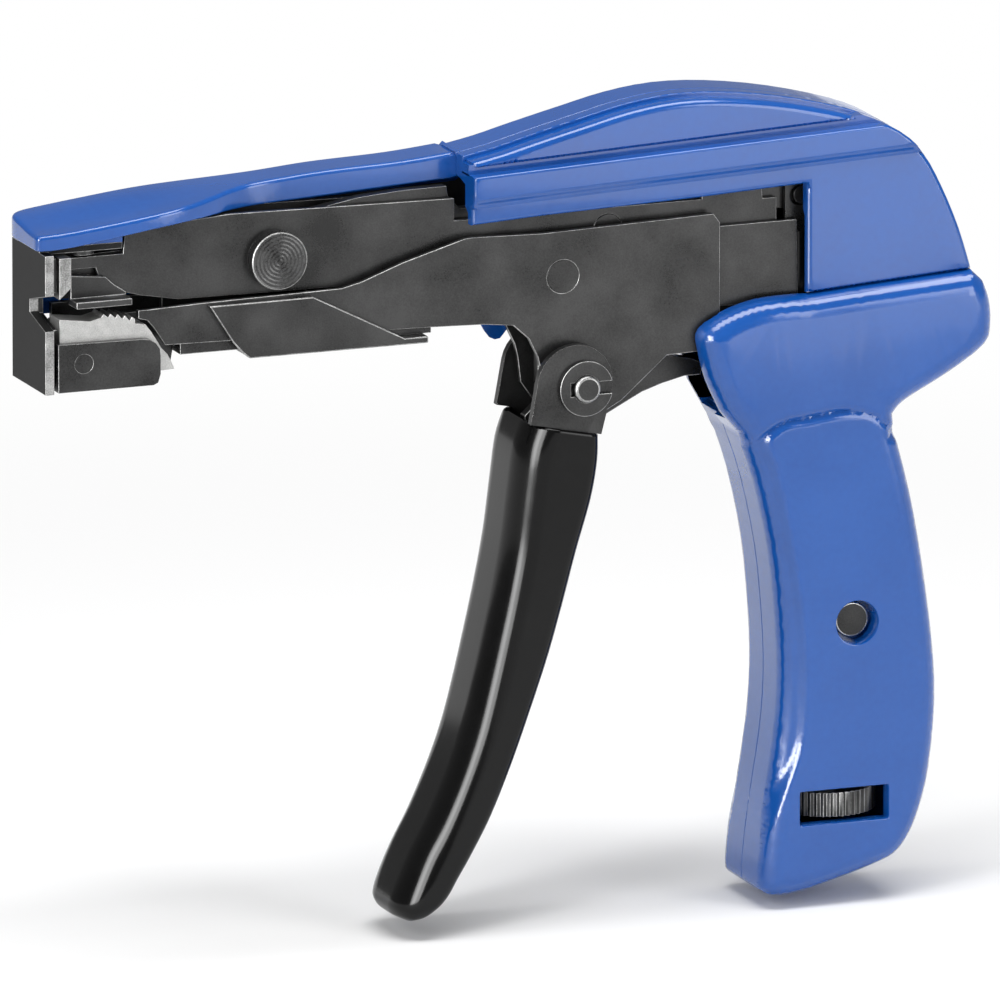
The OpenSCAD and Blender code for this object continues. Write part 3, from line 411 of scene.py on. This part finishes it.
def circle(middle, radius, parts=48):
    # a round hole's outline
    angles = np.linspace(0, 2 * math.pi, parts + 1)[:-1]
    return [(middle[0] + radius * math.cos(a), middle[1] + radius * math.sin(a)) for a in angles]


shellLook = {
    "hole step": 0.5, "edge room": 0.02, "hole room": 0.05, "least wall": 0.05,
    "shade from edge": 3.5, "shade from plane": 0.3}  # inner faces at least this far in get painted shade


def newShell():
    # a mesh to add to, with the numbers of the inner faces that get painted shade
    return {"points": [], "faces": [], "shadedFaces": []}


def reliefShell(into, loop, outer, inner, rows=(), side=-1, step=None, cutOuts=(), keep=None):
    # one shell over a loop; outer and inner give the two depths at each point
    look = shellLook
    loops = [spread(turned(loop), step or casingLook["step"])]
    loops += [spread(turned(c), look["hole step"]) for c in cutOuts]
    flat, edges = [], []
    for l in loops:
        n = len(flat)
        flat += l
        edges += [(n + i, n + (i + 1) % len(l)) for i in range(len(l))]
    if len(rows):
        extra = np.vstack(rows)
        good = inside(extra, loops[0]) & (edgeDistance(extra, loops[0], True) > look["edge room"])
        for l in loops[1:]:
            good &= ~inside(extra, l) & (edgeDistance(extra, l, True) > look["hole room"])
        flat += [tuple(p) for p in extra[good]]
    verts, _, tris, _, _, _ = geometry.delaunay_2d_cdt([Vector(p) for p in flat], edges, [], 0, 1e-3)
    at = np.array([tuple(v) for v in verts])
    tris = np.array([t for t in tris if len(t) == 3])
    middle = at[tris].mean(axis=1)
    good = inside(middle, loops[0])
    for l in loops[1:]:
        good &= ~inside(middle, l)
    if keep is not None:
        good &= keep(middle)
    tris = tris[good]
    a, b, c = (at[tris[:, k]] for k in range(3))
    area = (b[:, 0] - a[:, 0]) * (c[:, 1] - a[:, 1]) - (b[:, 1] - a[:, 1]) * (c[:, 0] - a[:, 0])
    tris = [tuple(int(k) for k in (t if positive else t[[0, 2, 1]])) for t, positive in zip(tris, area > 0)]
    over, under = outer(at), inner(at)
    under = np.minimum(under, over - look["least wall"])
    n, m = len(into["points"]), len(at)
    for depths in (over, under):
        into["points"] += [(x, side * d, z) for (x, z), d in zip(at, depths)]
    used = dict.fromkeys(e for a, b, c in tris for e in ((a, b), (b, c), (c, a)))
    rim = [(a, b) for a, b in used if (b, a) not in used]
    faces = [(n + a, n + b, n + c) for a, b, c in tris]
    faces += [(n + b, n + a, n + m + a, n + m + b) for a, b in rim]
    faces += [(n + m + a, n + m + c, n + m + b) for a, b, c in tris]
    first = len(into["faces"]) + len(tris) + len(rim)
    # inner faces well inside the hollow get the painted shade material
    inland = edgeDistance(at[np.array(tris)].mean(axis=1), loops[0], True) > look["shade from edge"]
    for i, t in enumerate(tris):
        if inland[i] and under[list(t)].min() > look["shade from plane"]:
            into["shadedFaces"].append(first + i)
    into["faces"] += faces if side < 0 else [f[::-1] for f in faces]


def turnedCup(into, middle, profile, parts=48):
    # a cup turned about a crosswise axis from (radius, depth) points
    n, k = len(into["points"]), len(profile)
    for i in range(parts):
        a = 2 * math.pi * i / parts
        into["points"] += [(middle[0] + r * math.cos(a), -d, middle[1] + r * math.sin(a)) for r, d in profile]
    for i in range(parts):
        p, q = n + i * k, n + (i + 1) % parts * k
        into["faces"] += [(p + j, p + j + 1, q + j + 1, q + j) for j in range(k - 1)]


casingLook = {  # depths count from the parting plane
    "wall": 2.1, "wall edge": 0.03, "seam": 0.14, "shell floor": 2.5, "skin": 0.03, "smooth angle": 32,
    "step": 0.9, "far step": 1.2, "far grip step": 1.0, "opening step": 1.5,
    "far depth": 8.0, "far inner": 5.9, "hump round": 1.8, "hump foot": -25.5, "rivet hole": 3.55,
    "grip depth": 10.0, "grip round": 3.6, "grip rows": 7, "deep below": -7.0,
    "rim depth": 2.8, "rim round": 0.25, "rim step": 0.6, "rim keep": 0.9, "rim foot": -7.5,
    "panel depth": 6.1, "panel round": 1.2, "panel foot": 0.5,
    "groove width": 1.0, "groove depth": 0.5, "groove under band": 0.3, "groove under panel": 0.5,
    "band depth": 8.3, "band height": 5.35, "band roll": 1.9, "band rows": 8, "band end": 0.5,
    "ledge edge": 0.45, "line reach": (60, 170), "cut reach": (0, 200), "front end": (72.6, 72.27),
    "side depth": 7.3, "side round": 0.8, "side foot": 0.6, "side below": 11, "side under band": 0.03,
    "panel rise": 0.95, "valley slope": 1.7, "panel edge": 1.5,
    "valley grid": 0.42, "valley reach": 2.3, "valley box": ((110, 163), (-104, -20)),
    "grid shift": (0.05, 7.1, 3.3), "hole edge": 0.35, "hole rows": 0.4,
    "wheel window": ((134.75, -90.36), 15.0, 5.4), "recess": ((136.9, -60.6), 3.5, 4.0),
    "recess bore": 1.6, "cup wall": 1.0, "cup rim": (2.2, 2.0)}
humpLine = [(72.25, 19.4), (77.6, 20.4), (84, 22), (92.4, 24), (100, 25.7), (108, 26.6), (117, 26.2),
            (127.6, 24.5), (138.3, 21.6), (144.8, 18.6), (149.3, 14.4), (152.5, 8.7), (155.4, 1.8),
            (157.5, -5)]
bulgeRear = [(159.3, -7), (160.4, -10), (160.7, -14), (159.6, -17.5), (153.5, -21.6), (146, -25.5),
             (143.9, -27.5)]
gripLine = [(144.1, -29.8), (146.9, -40.5), (149, -51.8), (150.8, -65), (151.3, -75), (150.3, -85.9),
            (148.6, -92.6), (146.7, -96.9), (144.3, -99.7), (140.8, -101.2), (134.6, -103), (128.3, -104.5),
            (124, -104.87), (121.8, -104), (121, -101.9), (122.1, -91.5), (124, -79.3), (124.7, -70.1),
            (124.4, -60.6), (123.2, -48.9), (120.7, -37.2), (117.8, -28.7)]
nearFront = [(114.8, -25), (112.3, -19.6), (111, -14.8), (110.7, -12), (112.2, -10.3), (114.7, -8.9),
             (118.2, -7.7), (122.4, -7), (129.3, -6.9)]
windowLine = [(129.3, 11.1), (111.4, 10.3), (84.1, 9.5), (72.25, 8.9)]
farFront = [(114.3, -22.5), (113, -18), (111, -13.5), (108, -10.3), (85.5, -10.3), (83.4, -11.2),
            (82, -12.9), (80.2, -12.6), (78.5, -10), (76, -5.5), (70, -2.4)]
farNose = [(1.7, -2.4), (1.7, 10.9), (15, 12.5), (30, 14), (72.25, 15.5)]
bulgeTop = [(129.3, -6.95), (137.5, -6.35), (157.4, -5.15)]
farBulgeFront = [(110.2, -12), (112, -7.5)]
bandLow, bandEnd = (72.25, 11.6), (148.75, 14.7)  # lower edge of the ridge band
stepFrom, stepTo = (128.5, -6.72), (157.7, -5.0)  # step from the side plate down to the bulge
bulgeLow = [(106.25, -32), (117.5, -29.75), (120.75, -27.7), (124.1, -26), (128.9, -25.3), (134.25, -24.8),
            (137.5, -25.5), (140.75, -26.8), (143, -28.5), (162.5, -37.5)]
gripPanel = [(118.75, -105), (122.1, -95.7), (124.75, -88.4), (127.25, -82.2), (128.25, -76.3),
             (128.5, -66.2), (127.5, -55.7), (125.5, -43.7), (123.5, -34.8), (122.4, -31.8), (122.2, -30.2),
             (122.6, -29.2), (124.75, -27.9), (128.75, -27.5), (133.75, -26.9), (137.5, -27.1),
             (139.75, -27.9), (141.9, -29.8), (143.75, -32.2), (162.5, -34.6)]
dentCorners, panelCorners = [(162.5, -115), (106, -115)], [(162.5, -110), (118, -110)]
barWay = [(-12, 6.2), (145, 6.2), (145, -9.5), (128.7, -9.5), (128.7, -16.5), (121.2, -22.5),
          (117.5, -26.5), (105, -26.5), (105, -16.5), (-12, -16.5)]
leverWay = [(-12, 15.5), (87.5, 15.5), (131.2, 15), (131.2, 5), (-12, 5)]
barOpening, leverOpening = (spread(turned(way), casingLook["opening step"]) for way in (barWay, leverWay))

gripBack = smoothLine(bulgeRear, 3) + smoothLine(gripLine, 3)
bodyLine = smoothLine(humpLine, 3) + gripBack
nearLoop = turned(bodyLine + smoothLine(nearFront, 3) + windowLine)
farLoop = turned(bodyLine + smoothLine(farFront, 2) + farNose)
nearFine, farFine = spread(nearLoop, casingLook["step"]), spread(farLoop, casingLook["far step"])


def levelCut(height):
    # a level line for clipping, which keeps what lies above it
    return [(x, height) for x in casingLook["cut reach"]]


def bandLine(height):
    # a line beside the lower edge of the ridge band, this high above it
    slope = (bandEnd[1] - bandLow[1]) / (bandEnd[0] - bandLow[0])
    lift = height / math.cos(math.atan(slope))
    return [(x, bandLow[1] + lift + (x - bandLow[0]) * slope) for x in casingLook["line reach"]]


def bandHeight(at):
    # how far each point lies above the lower edge of the ridge band
    tilt = math.atan((bandEnd[1] - bandLow[1]) / (bandEnd[0] - bandLow[0]))
    return (at[:, 1] - bandLow[1]) * math.cos(tilt) - (at[:, 0] - bandLow[0]) * math.sin(tilt)


def hollow(at):
    # inside the casing's walls
    return inside(at, farFine) & (edgeDistance(at, farFine, True) > casingLook["wall"])


def deepGrip(at):
    # the hollow of bulge and grip, which is deeper than the hump's
    return hollow(at) & (at[:, 1] < casingLook["deep below"] - casingLook["wall"])


def seamed(at, depth):
    # a fine groove where the two halves meet
    seam = casingLook["seam"]
    return np.where(edgeDistance(at, farFine, True) < seam * 0.5, np.maximum(depth, seam), depth)


def levelHalf(depth, outline, radius):
    # a level half, rounded along its outline
    return lambda at: depth - quarterRound(edgeDistance(at, outline, True), radius)


def nearInner(at):
    # depth of the near half's inner side, with the open ways of pull bar and cutter lever
    look = casingLook
    depth = np.zeros(len(at))
    depth[hollow(at) | inside(at, leverOpening)] = look["panel depth"] - look["wall"]
    depth[hollow(at) & (at[:, 1] < look["side below"])] = look["side depth"] - look["wall"]
    depth[inside(at, barOpening)] = look["far inner"]
    depth[deepGrip(at)] = look["grip depth"] - look["wall"]
    return seamed(at, depth)


def farInner(at):
    # the same for the far half
    look = casingLook
    depth = np.zeros(len(at))
    depth[hollow(at) | inside(at, barOpening) | inside(at, leverOpening)] = look["far inner"]
    depth[deepGrip(at)] = look["grip depth"] - look["wall"]
    return seamed(at, depth)


def coverInner(at):
    # keeps the near half's outer shells thin
    return np.maximum(nearInner(at), casingLook["shell floor"])


def wallRows():
    # rows of points where the inner side steps from the wall to the hollow
    wall, edge = casingLook["wall"], casingLook["wall edge"]
    return ringRows(farFine, [casingLook["seam"], wall - edge, wall + edge])


def gripOuter(outline):
    # depth over the bulge and grip, with the dent between the bulge and the raised grip panel
    look = casingLook
    low, edge = smoothLine(bulgeLow, 4), smoothLine(gripPanel, 4)
    dentLoop, panelLoop = turned(low + dentCorners), turned(edge + panelCorners)

    def depth(at):
        dent = inside(at, dentLoop) & ~inside(at, panelLoop)
        share = np.minimum(ramp(edgeDistance(at, low, False), 0, look["valley slope"]),
                           ramp(edgeDistance(at, edge, False), 0, look["panel edge"]))
        edged = quarterRound(edgeDistance(at, outline, True), look["grip round"])
        return look["grip depth"] - edged - look["panel rise"] * np.where(dent, share, 0)
    return depth


def raisedField(depth, outline, edgeRadius, foot, footRadius):
    # a level field, rounded along its outline and along the straight line of its foot
    def outer(at):
        return depth - np.maximum(quarterRound(edgeDistance(at, outline, True), edgeRadius),
                                  quarterRound(edgeDistance(at, foot, False), footRadius))
    return outer


def valleyRows():
    # an even grid of points where the dent slopes, a little out of line so that it meshes cleanly
    look = casingLook
    across, up = (np.arange(*ends, look["valley grid"]) for ends in look["valley box"])
    grid = np.array([(x, z) for x in across for z in up])
    amount, waveX, waveZ = look["grid shift"]
    shift = np.array([amount * math.sin(waveX * x + waveZ * z) for x, z in grid])
    grid = grid + np.stack([shift, -shift], axis=1)
    away = np.minimum(*(edgeDistance(grid, smoothLine(line, 4), False) for line in (bulgeLow, gripPanel)))
    return grid[away < look["valley reach"]]


def nearRim(into):
    # the narrow rim that shows round the hump's panel
    look = casingLook
    reliefShell(into, clipped(nearLoop, *levelCut(look["rim foot"])),
                levelHalf(look["rim depth"], nearFine, look["rim round"]), nearInner,
                [wallRows(), ringRows(nearFine, roundSteps(look["rim round"], 2))],
                keep=lambda at: ~hollow(at) & ~inside(at, barOpening) & ~inside(at, leverOpening))


def nearPanel(into):
    # the recessed panel of the hump, above the groove
    look = casingLook
    outline = [tuple(p) for p in inset(nearFine, look["rim step"])]
    least = look["rim step"] * look["rim keep"]
    outline = [p for p in outline if edgeDistance(np.array([p]), nearFine, True)[0] > least]
    low = bandLine(look["band height"] + look["groove width"])
    foot = spread(low, look["step"], False)
    outer = raisedField(look["panel depth"], outline, look["panel round"], foot, look["panel foot"])
    reliefShell(into, clipped(outline, *low), outer, coverInner,
                [ringRows(outline, roundSteps(look["panel round"])),
                 ringRows(foot, roundSteps(look["panel foot"], 4), False)])


def nearBand(into, plate):
    # the ridge band, and the groove's floor between it and the panel
    look = casingLook
    level = look["panel depth"] - look["groove depth"]
    floor = clipped(clipped(plate, *bandLine(look["band height"] - look["groove under band"])),
                    *bandLine(look["band height"] + look["groove width"] + look["groove under panel"])[::-1])
    reliefShell(into, floor, lambda at: np.full(len(at), level), coverInner, [wallRows()])
    band = clipped(clipped(plate, *bandLine(0)), *bandLine(look["band height"])[::-1])
    heights = (0, look["band height"])
    ends = [sorted(p for p in band if abs(bandHeight(np.array([p]))[0] - v) < 1e-3) for v in heights]
    foot, ledge = (spread([e[0], e[-1]], look["step"], False) for e in ends)

    def outer(at):
        v = bandHeight(at)
        depth = look["side depth"] + (look["band depth"] - look["side depth"]) * ramp(v, 0, look["band roll"])
        depth -= quarterRound(look["band height"] - v, look["ledge edge"])
        return depth - quarterRound(edgeDistance(at, plate, True), look["band end"])

    rolls = [look["band roll"] * k / look["band rows"] for k in range(1, look["band rows"] + 1)]
    reliefShell(into, band, outer, coverInner,
                [ringRows(foot, rolls, False),
                 ringRows(ledge, [-k for k in roundSteps(look["ledge edge"])], False),
                 ringRows(plate, roundSteps(look["band end"], 4))])


def nearSide(into, plate):
    # the flat side plate between the band and the bulge
    look = casingLook
    loop = clipped(clipped(plate, *bandLine(look["side under band"])[::-1]), stepFrom, stepTo)
    foot = spread([stepFrom, stepTo], look["step"], False)
    outer = raisedField(look["side depth"], plate, look["side round"], foot, look["side foot"])
    reliefShell(into, loop, outer, coverInner,
                [wallRows(), ringRows(plate, roundSteps(look["side round"], 4)),
                 ringRows(foot, roundSteps(look["side foot"], 4), False)])


def nearGrip(into):
    # bulge and grip, with the wheel's window and the screw's recess
    look = casingLook
    loop = turned(bulgeTop + gripBack + smoothLine(nearFront, 3)[:-1])
    fine = spread(loop, look["step"])
    middle, width, height = look["wheel window"]
    corners = ((-0.5, -0.5), (0.5, -0.5), (0.5, 0.5), (-0.5, 0.5))
    window = [(middle[0] + x * width, middle[1] + z * height) for x, z in corners]
    screwAt, radius, recessDepth = look["recess"]
    holes = (window, circle(screwAt, radius))
    shape = gripOuter(fine)

    def outer(at):
        return shape(at) - sum(quarterRound(edgeDistance(at, c, True), look["hole edge"]) for c in holes)

    beside = [-look["skin"]] + [-d for d in roundSteps(look["hole edge"], 3)]
    rows = [wallRows(), valleyRows()]
    rows += [ringRows(spread(turned(c), look["hole rows"]), beside) for c in holes]
    rows.append(ringRows(fine, roundSteps(look["grip round"], look["grip rows"])))
    reliefShell(into, loop, outer, nearInner, rows, cutOuts=holes)
    face, bore, wall = look["grip depth"], look["recess bore"], look["cup wall"]
    outerRim, innerRim = look["cup rim"]
    floor = face - recessDepth
    turnedCup(into, screwAt, [
        (radius + wall, face - outerRim), (radius + wall, floor - wall), (bore, floor - wall),
        (bore, floor), (radius, floor), (radius, face - innerRim)])


def leftShell():
    into = newShell()
    look = casingLook
    limit, front = look["front end"]
    plate = [(front, p[1]) if p[0] < limit else tuple(p) for p in inset(nearFine, look["skin"])]
    nearRim(into)
    nearPanel(into)
    nearBand(into, plate)
    nearSide(into, plate)
    nearGrip(into)
    return into


def rightShell():
    into = newShell()
    look = casingLook
    reliefShell(into, clipped(farLoop, *levelCut(look["hump foot"])),
                levelHalf(look["far depth"], farFine, look["hump round"]), farInner,
                [wallRows(), ringRows(farFine, roundSteps(look["hump round"]))],
                side=1, step=look["far step"], cutOuts=(circle(rivetAt, look["rivet hole"]),))
    loop = turned(farBulgeFront + bulgeTop + gripBack + smoothLine(farFront[:3], 3))
    fine = spread(loop, look["far grip step"])
    reliefShell(into, loop, gripOuter(fine), farInner,
                [wallRows(), valleyRows(), ringRows(fine, roundSteps(look["grip round"], look["grip rows"]))],
                side=1, step=look["far grip step"])
    return into


# nose strip of the right casing: a slab with a plan, seen from above, and two side lines

stripLook = {
    "corner": [(-1.38, -6.7), (-1.25, -7.1), (-0.95, -7.4)],
    "near edge": [(-0.5, -7.5), (10, -7.5), (19, -7.5), (24, -6.6), (29, -4.4), (34, -1.6), (38, -0.3),
                  (42, 0)],
    "ends": [(73, 0), (73, 8)],
    "far edge": [(8, 8), (4.2, 7.7), (1.6, 7.1), (-0.2, 6.0), (-1.1, 4.6), (-1.38, 2.9), (-1.38, 0)],
    "top": [(-1.4, 13.3), (4.2, 13.6), (12.5, 14.5), (20.4, 15.5), (27, 16.2), (39, 17.3), (49.5, 18.2),
            (63, 18.7), (73, 19.55)],
    "low": [(-1.4, 10.9), (4.8, 11.1), (20.4, 13.2), (30, 13.6), (39, 13.7), (63, 14.85), (73, 15.35)],
    "crown": 1.2, "crown across": (-6.5, 6), "crown along": (12, 46), "top round": 0.7, "low round": 0.3,
    "step": 0.8, "open end": 72.6, "rows along": (0, 72, 1.5),
    "rows across": (-5, -3, -1, 1.5, 3, 4.5, 6),
    "pad": ((0, 14.0), (-4.8, 4.8), (10.8, 12.5))}


def stripSlab(into):
    look = stripLook
    near, far = smoothLine(look["near edge"], 4), smoothLine(look["far edge"], 4)
    plan = turned(look["corner"] + near + look["ends"] + far)
    loop = spread(plan, look["step"])
    edge = [p for p in loop if p[0] < look["open end"]]
    top = lambda x: np.interp(x, *np.array(smoothLine(look["top"], 6)).T)
    low = lambda x: np.interp(x, *np.array(smoothLine(look["low"], 6)).T)

    def outer(at):
        fade = 1 - ramp(at[:, 0], *look["crown along"])
        crown = look["crown"] * ramp(at[:, 1], *look["crown across"]) * fade
        return top(at[:, 0]) + crown - quarterRound(edgeDistance(at, edge, False), look["top round"])

    def inner(at):
        return low(at[:, 0]) + quarterRound(edgeDistance(at, edge, False), look["low round"])

    rows = [ringRows(loop, roundSteps(look["top round"], 4)),
            ringRows(loop, roundSteps(look["low round"], 2)),
            np.array([(x, y) for x in np.arange(*look["rows along"]) for y in look["rows across"]])]
    lying = newShell()
    reliefShell(lying, plan, outer, inner, rows, side=1, step=look["step"])
    n = len(into["points"])
    into["points"] += [(x, y, z) for x, z, y in lying["points"]]
    into["faces"] += [tuple(n + i for i in f) for f in lying["faces"]]
    n = len(into["points"])
    into["points"] += [(a, b, c) for a in look["pad"][0] for b in look["pad"][1] for c in look["pad"][2]]
    sides = ((0, 1, 3, 2), (4, 6, 7, 5), (0, 4, 5, 1), (2, 3, 7, 6), (0, 2, 6, 4), (1, 5, 7, 3))
    into["faces"] += [tuple(n + i for i in f) for f in sides]


def makeCasings():
    left, right = leftShell(), rightShell()
    stripSlab(right)
    for name, half, node in (("leftCasing", left, "left_casing"), ("rightCasing", right, "right_casing")):
        piece = newPiece(name, half["points"], half["faces"], "frame", [blueEnamel, paintedShadeInside], node)
        # the inner faces listed get the painted shade material
        if len(piece.data.polygons) == len(half["faces"]):
            for i in half["shadedFaces"]:
                piece.data.polygons[i].material_index = 1
        shade(piece, casingLook["smooth angle"])


makeCasings()
print("casings ready")


# dipped trigger sleeve: a loft over (front x, front z, rear x, rear z, share of the width)

sleeveLook = {
    "half width": 9.0, "front round": (4.9, 6.0), "rear round": 2.0, "corner parts": 10,
    "front limits": (0.6, 0.9), "rear limits": (0.3, 0.5),  # shares of the length and half width
    "wall": 0.75, "lip": 0.35, "lip drop": 0.25, "lip rise": 0.02, "inner reach": 8, "steps": 5,
    "smooth angle": 50,
    "stations": [
        (82, -24.1, 93.5, -26.4, 1), (80.5, -28.4, 93.4, -30.8, 1), (79.5, -35.5, 92.3, -36.9, 1),
        (78.4, -43.7, 89.8, -45.2, 1), (76.8, -52, 87.4, -53.9, 1), (75.1, -59.5, 85, -62, 1),
        (73.4, -66.6, 82.1, -70.3, 1), (71.5, -73.7, 78.8, -79.1, 1), (69.1, -80.4, 75.2, -87.4, 1),
        (66, -87.3, 71.8, -93.6, 1), (63, -92.8, 69.6, -97.2, 1), (60.8, -97.6, 68.3, -99.4, 1),
        (59.6, -101, 67.1, -101, 0.97), (59.8, -102.6, 65.9, -102.2, 0.9), (60.5, -103.4, 64.6, -103.2, 0.78),
        (61.5, -103.9, 63.3, -103.8, 0.62)]}


def sleeveRing(station, grow=0.0):
    # one cross-section: a rectangle with a well rounded front and a tighter rear
    look = sleeveLook
    fx, fz, rx, rz, share = station
    front, rear = Vector((fx, fz)), Vector((rx, rz))
    length = (rear - front).length
    along = (rear - front) / length
    half = look["half width"] * share + grow
    (frontX, frontY), (rearX, rearY) = look["front limits"], look["rear limits"]
    frontRound = (min(look["front round"][0], length * frontX), min(look["front round"][1], half * frontY))
    rearRound = min(look["rear round"], length * rearX, half * rearY)
    ring, k = [], look["corner parts"]
    for atRear, side, start in ((False, -1, 180), (True, -1, 270), (True, 1, 0), (False, 1, 90)):
        r = (rearRound, rearRound) if atRear else frontRound
        middle = length + grow - r[0] if atRear else -grow + r[0]
        for i in range(k + 1):
            a = math.radians(start + 90 * i / k)
            q = front + along * (middle + r[0] * math.cos(a))
            ring.append((q.x, side * (half - r[1]) + r[1] * math.sin(a), q.y))
    return ring


def makeSleeve():
    look = sleeveLook
    stations = smoothLine(look["stations"], look["steps"])
    rings = [sleeveRing(t) for t in stations]
    lip = [sleeveRing(stations[0], -look["lip"] * look["wall"]), sleeveRing(stations[0], -look["wall"]),
           sleeveRing(stations[look["inner reach"]], -look["wall"])]
    rings[0] = [(x, y, z - look["lip drop"]) for x, y, z in rings[0]]
    lip[0] = [(x, y, z + look["lip rise"]) for x, y, z in lip[0]]
    rings = lip[::-1] + rings
    n = len(rings[0])
    points = [p for ring in rings for p in ring]
    faces = []
    for i in range(len(rings) - 1):
        a, b = i * n, (i + 1) * n
        faces += [(a + j, a + (j + 1) % n, b + (j + 1) % n, b + j) for j in range(n)]
    faces.append(tuple((len(rings) - 1) * n + j for j in range(n)))
    piece = newPiece("triggerSleeve", points, faces, "trigger", [blackDip], "trigger_sleeve")
    b = bmesh.new()
    b.from_mesh(piece.data)
    bmesh.ops.recalc_face_normals(b, faces=b.faces)
    b.to_mesh(piece.data)
    b.free()
    shade(piece, look["smooth angle"])


makeSleeve()
print("sleeve ready")


# stage, light and camera

stageLook = {"floor z": -0.1068, "half size": 6.0, "colour": (0.86, 0.86, 0.86), "roughness": 0.9,
             "lit from": 0.16, "lit to": 0.42, "middle": (0.085, 0.0), "world": 0.26}


def stageMaterial():
    # a pale floor: plain paint near the tool, where its shadow falls, and white further out
    m = bpy.data.materials.new("paleFloor")
    tree, shader = nodeTree(m)
    node, link = tree.nodes.new, tree.links.new
    shader.inputs["Base Color"].default_value = (*stageLook["colour"], 1)
    shader.inputs["Roughness"].default_value = stageLook["roughness"]
    glow = node("ShaderNodeEmission")
    glow.inputs["Strength"].default_value = 1.0
    path, where, away = node("ShaderNodeLightPath"), node("ShaderNodeTexCoord"), node("ShaderNodeVectorMath")
    spread, share, blend = node("ShaderNodeMapRange"), node("ShaderNodeMath"), node("ShaderNodeMixShader")
    away.operation = "DISTANCE"
    away.inputs[1].default_value = (*stageLook["middle"], stageLook["floor z"])
    link(where.outputs["Object"], away.inputs[0])
    spread.interpolation_type = "SMOOTHSTEP"
    spread.inputs["From Min"].default_value = stageLook["lit from"]
    spread.inputs["From Max"].default_value = stageLook["lit to"]
    link(away.outputs["Value"], spread.inputs["Value"])
    glossy, through = node("ShaderNodeMath"), node("ShaderNodeMath")
    glossy.operation = through.operation = "MAXIMUM"
    link(path.outputs["Is Camera Ray"], glossy.inputs[0])
    link(path.outputs["Is Glossy Ray"], glossy.inputs[1])
    link(glossy.outputs[0], through.inputs[0])
    link(path.outputs["Is Transmission Ray"], through.inputs[1])
    share.operation = "MULTIPLY"
    link(through.outputs[0], share.inputs[0])
    link(spread.outputs["Result"], share.inputs[1])
    link(share.outputs[0], blend.inputs["Fac"])
    link(shader.outputs[0], blend.inputs[1])
    link(glow.outputs[0], blend.inputs[2])
    link(blend.outputs[0], tree.nodes["Material Output"].inputs["Surface"])
    return m


def makeStage():
    w, z = stageLook["half size"], stageLook["floor z"]
    mesh = bpy.data.meshes.new("floor")
    mesh.from_pydata([(-w, -w, z), (w, -w, z), (w, w, z), (-w, w, z)], [], [(0, 1, 2, 3)])
    floor = bpy.data.objects.new("floor", mesh)
    mesh.materials.append(stageMaterial())
    bpy.context.collection.objects.link(floor)
    world = bpy.data.worlds.new("studio")
    bpy.context.scene.world = world
    world.use_nodes = True
    world.node_tree.nodes["Background"].inputs["Color"].default_value = (1, 1, 1, 1)
    world.node_tree.nodes["Background"].inputs["Strength"].default_value = stageLook["world"]


lampLooks = {  # a card is seen only in the gloss of the tool
    "overhead": {"at": (0.10, -0.12, 0.80), "to": (0.09, 0, 0), "size": (0.8, 0.45), "watts": 8.5},
    "frontLeft": {"at": (-0.80, -0.55, 0.30), "to": (0.08, 0, -0.04), "size": (0.22, 0.9), "watts": 5.0},
    "frontRight": {"at": (0.75, -0.95, 0.25), "to": (0.08, 0, -0.04), "size": (0.5, 0.8), "watts": 6.0},
    "rightCard": {"at": (0.50, -0.60, -0.10), "to": (0.50, -0.60, 1), "size": (0.5, 0.5), "watts": 1.3},
    "leftCard": {"at": (-0.27, -0.17, -0.10), "to": (-0.27, -0.17, 1), "size": (0.14, 0.24), "watts": 1.0},
    "sheenCard": {"at": (-0.78, -0.62, 0.28), "to": (0.07, 0, -0.06), "size": (0.62, 1.0), "watts": 26.0}}


def makeLamps():
    for name, look in lampLooks.items():
        data = bpy.data.lights.new(name, "AREA")
        data.shape = "RECTANGLE"
        data.size, data.size_y = look["size"]
        data.energy = look["watts"]
        lamp = bpy.data.objects.new(name, data)
        lamp.location = look["at"]
        lamp.visible_camera = lamp.visible_diffuse = "Card" not in name
        lamp.rotation_euler = (Vector(look["to"]) - Vector(look["at"])).to_track_quat("-Z", "Y").to_euler()
        bpy.context.collection.objects.link(lamp)


cameraLook = {"azimuth": -21.2, "elevation": 13.39, "distance": 5.5, "pixels per mm": 6.3, "sensor": 36,
              "right": 74.32, "up": -30.1, "depth": -35.7}


def makeCamera():
    # nearly parallel; right, up and depth say in millimetres where it aims
    look = cameraLook
    a, e = math.radians(look["azimuth"]), math.radians(look["elevation"])
    back = Vector((math.sin(a) * math.cos(e), -math.cos(a) * math.cos(e), math.sin(e)))
    right = Vector((math.cos(a), math.sin(a), 0))
    up = back.cross(right)
    aim = (look["right"] * right + look["up"] * up + look["depth"] * back) * mm
    data = bpy.data.cameras.new("camera")
    data.sensor_width = look["sensor"]
    data.lens = look["sensor"] * look["pixels per mm"] * look["distance"]
    camera = bpy.data.objects.new("camera", data)
    camera.location = aim + back * look["distance"]
    camera.rotation_euler = (-back).to_track_quat("-Z", "Y").to_euler()
    bpy.context.collection.objects.link(camera)
    bpy.context.scene.camera = camera


makeStage()
makeLamps()
makeCamera()
bpy.context.scene.view_settings.view_transform = "Standard"
print("stage, light and camera ready")
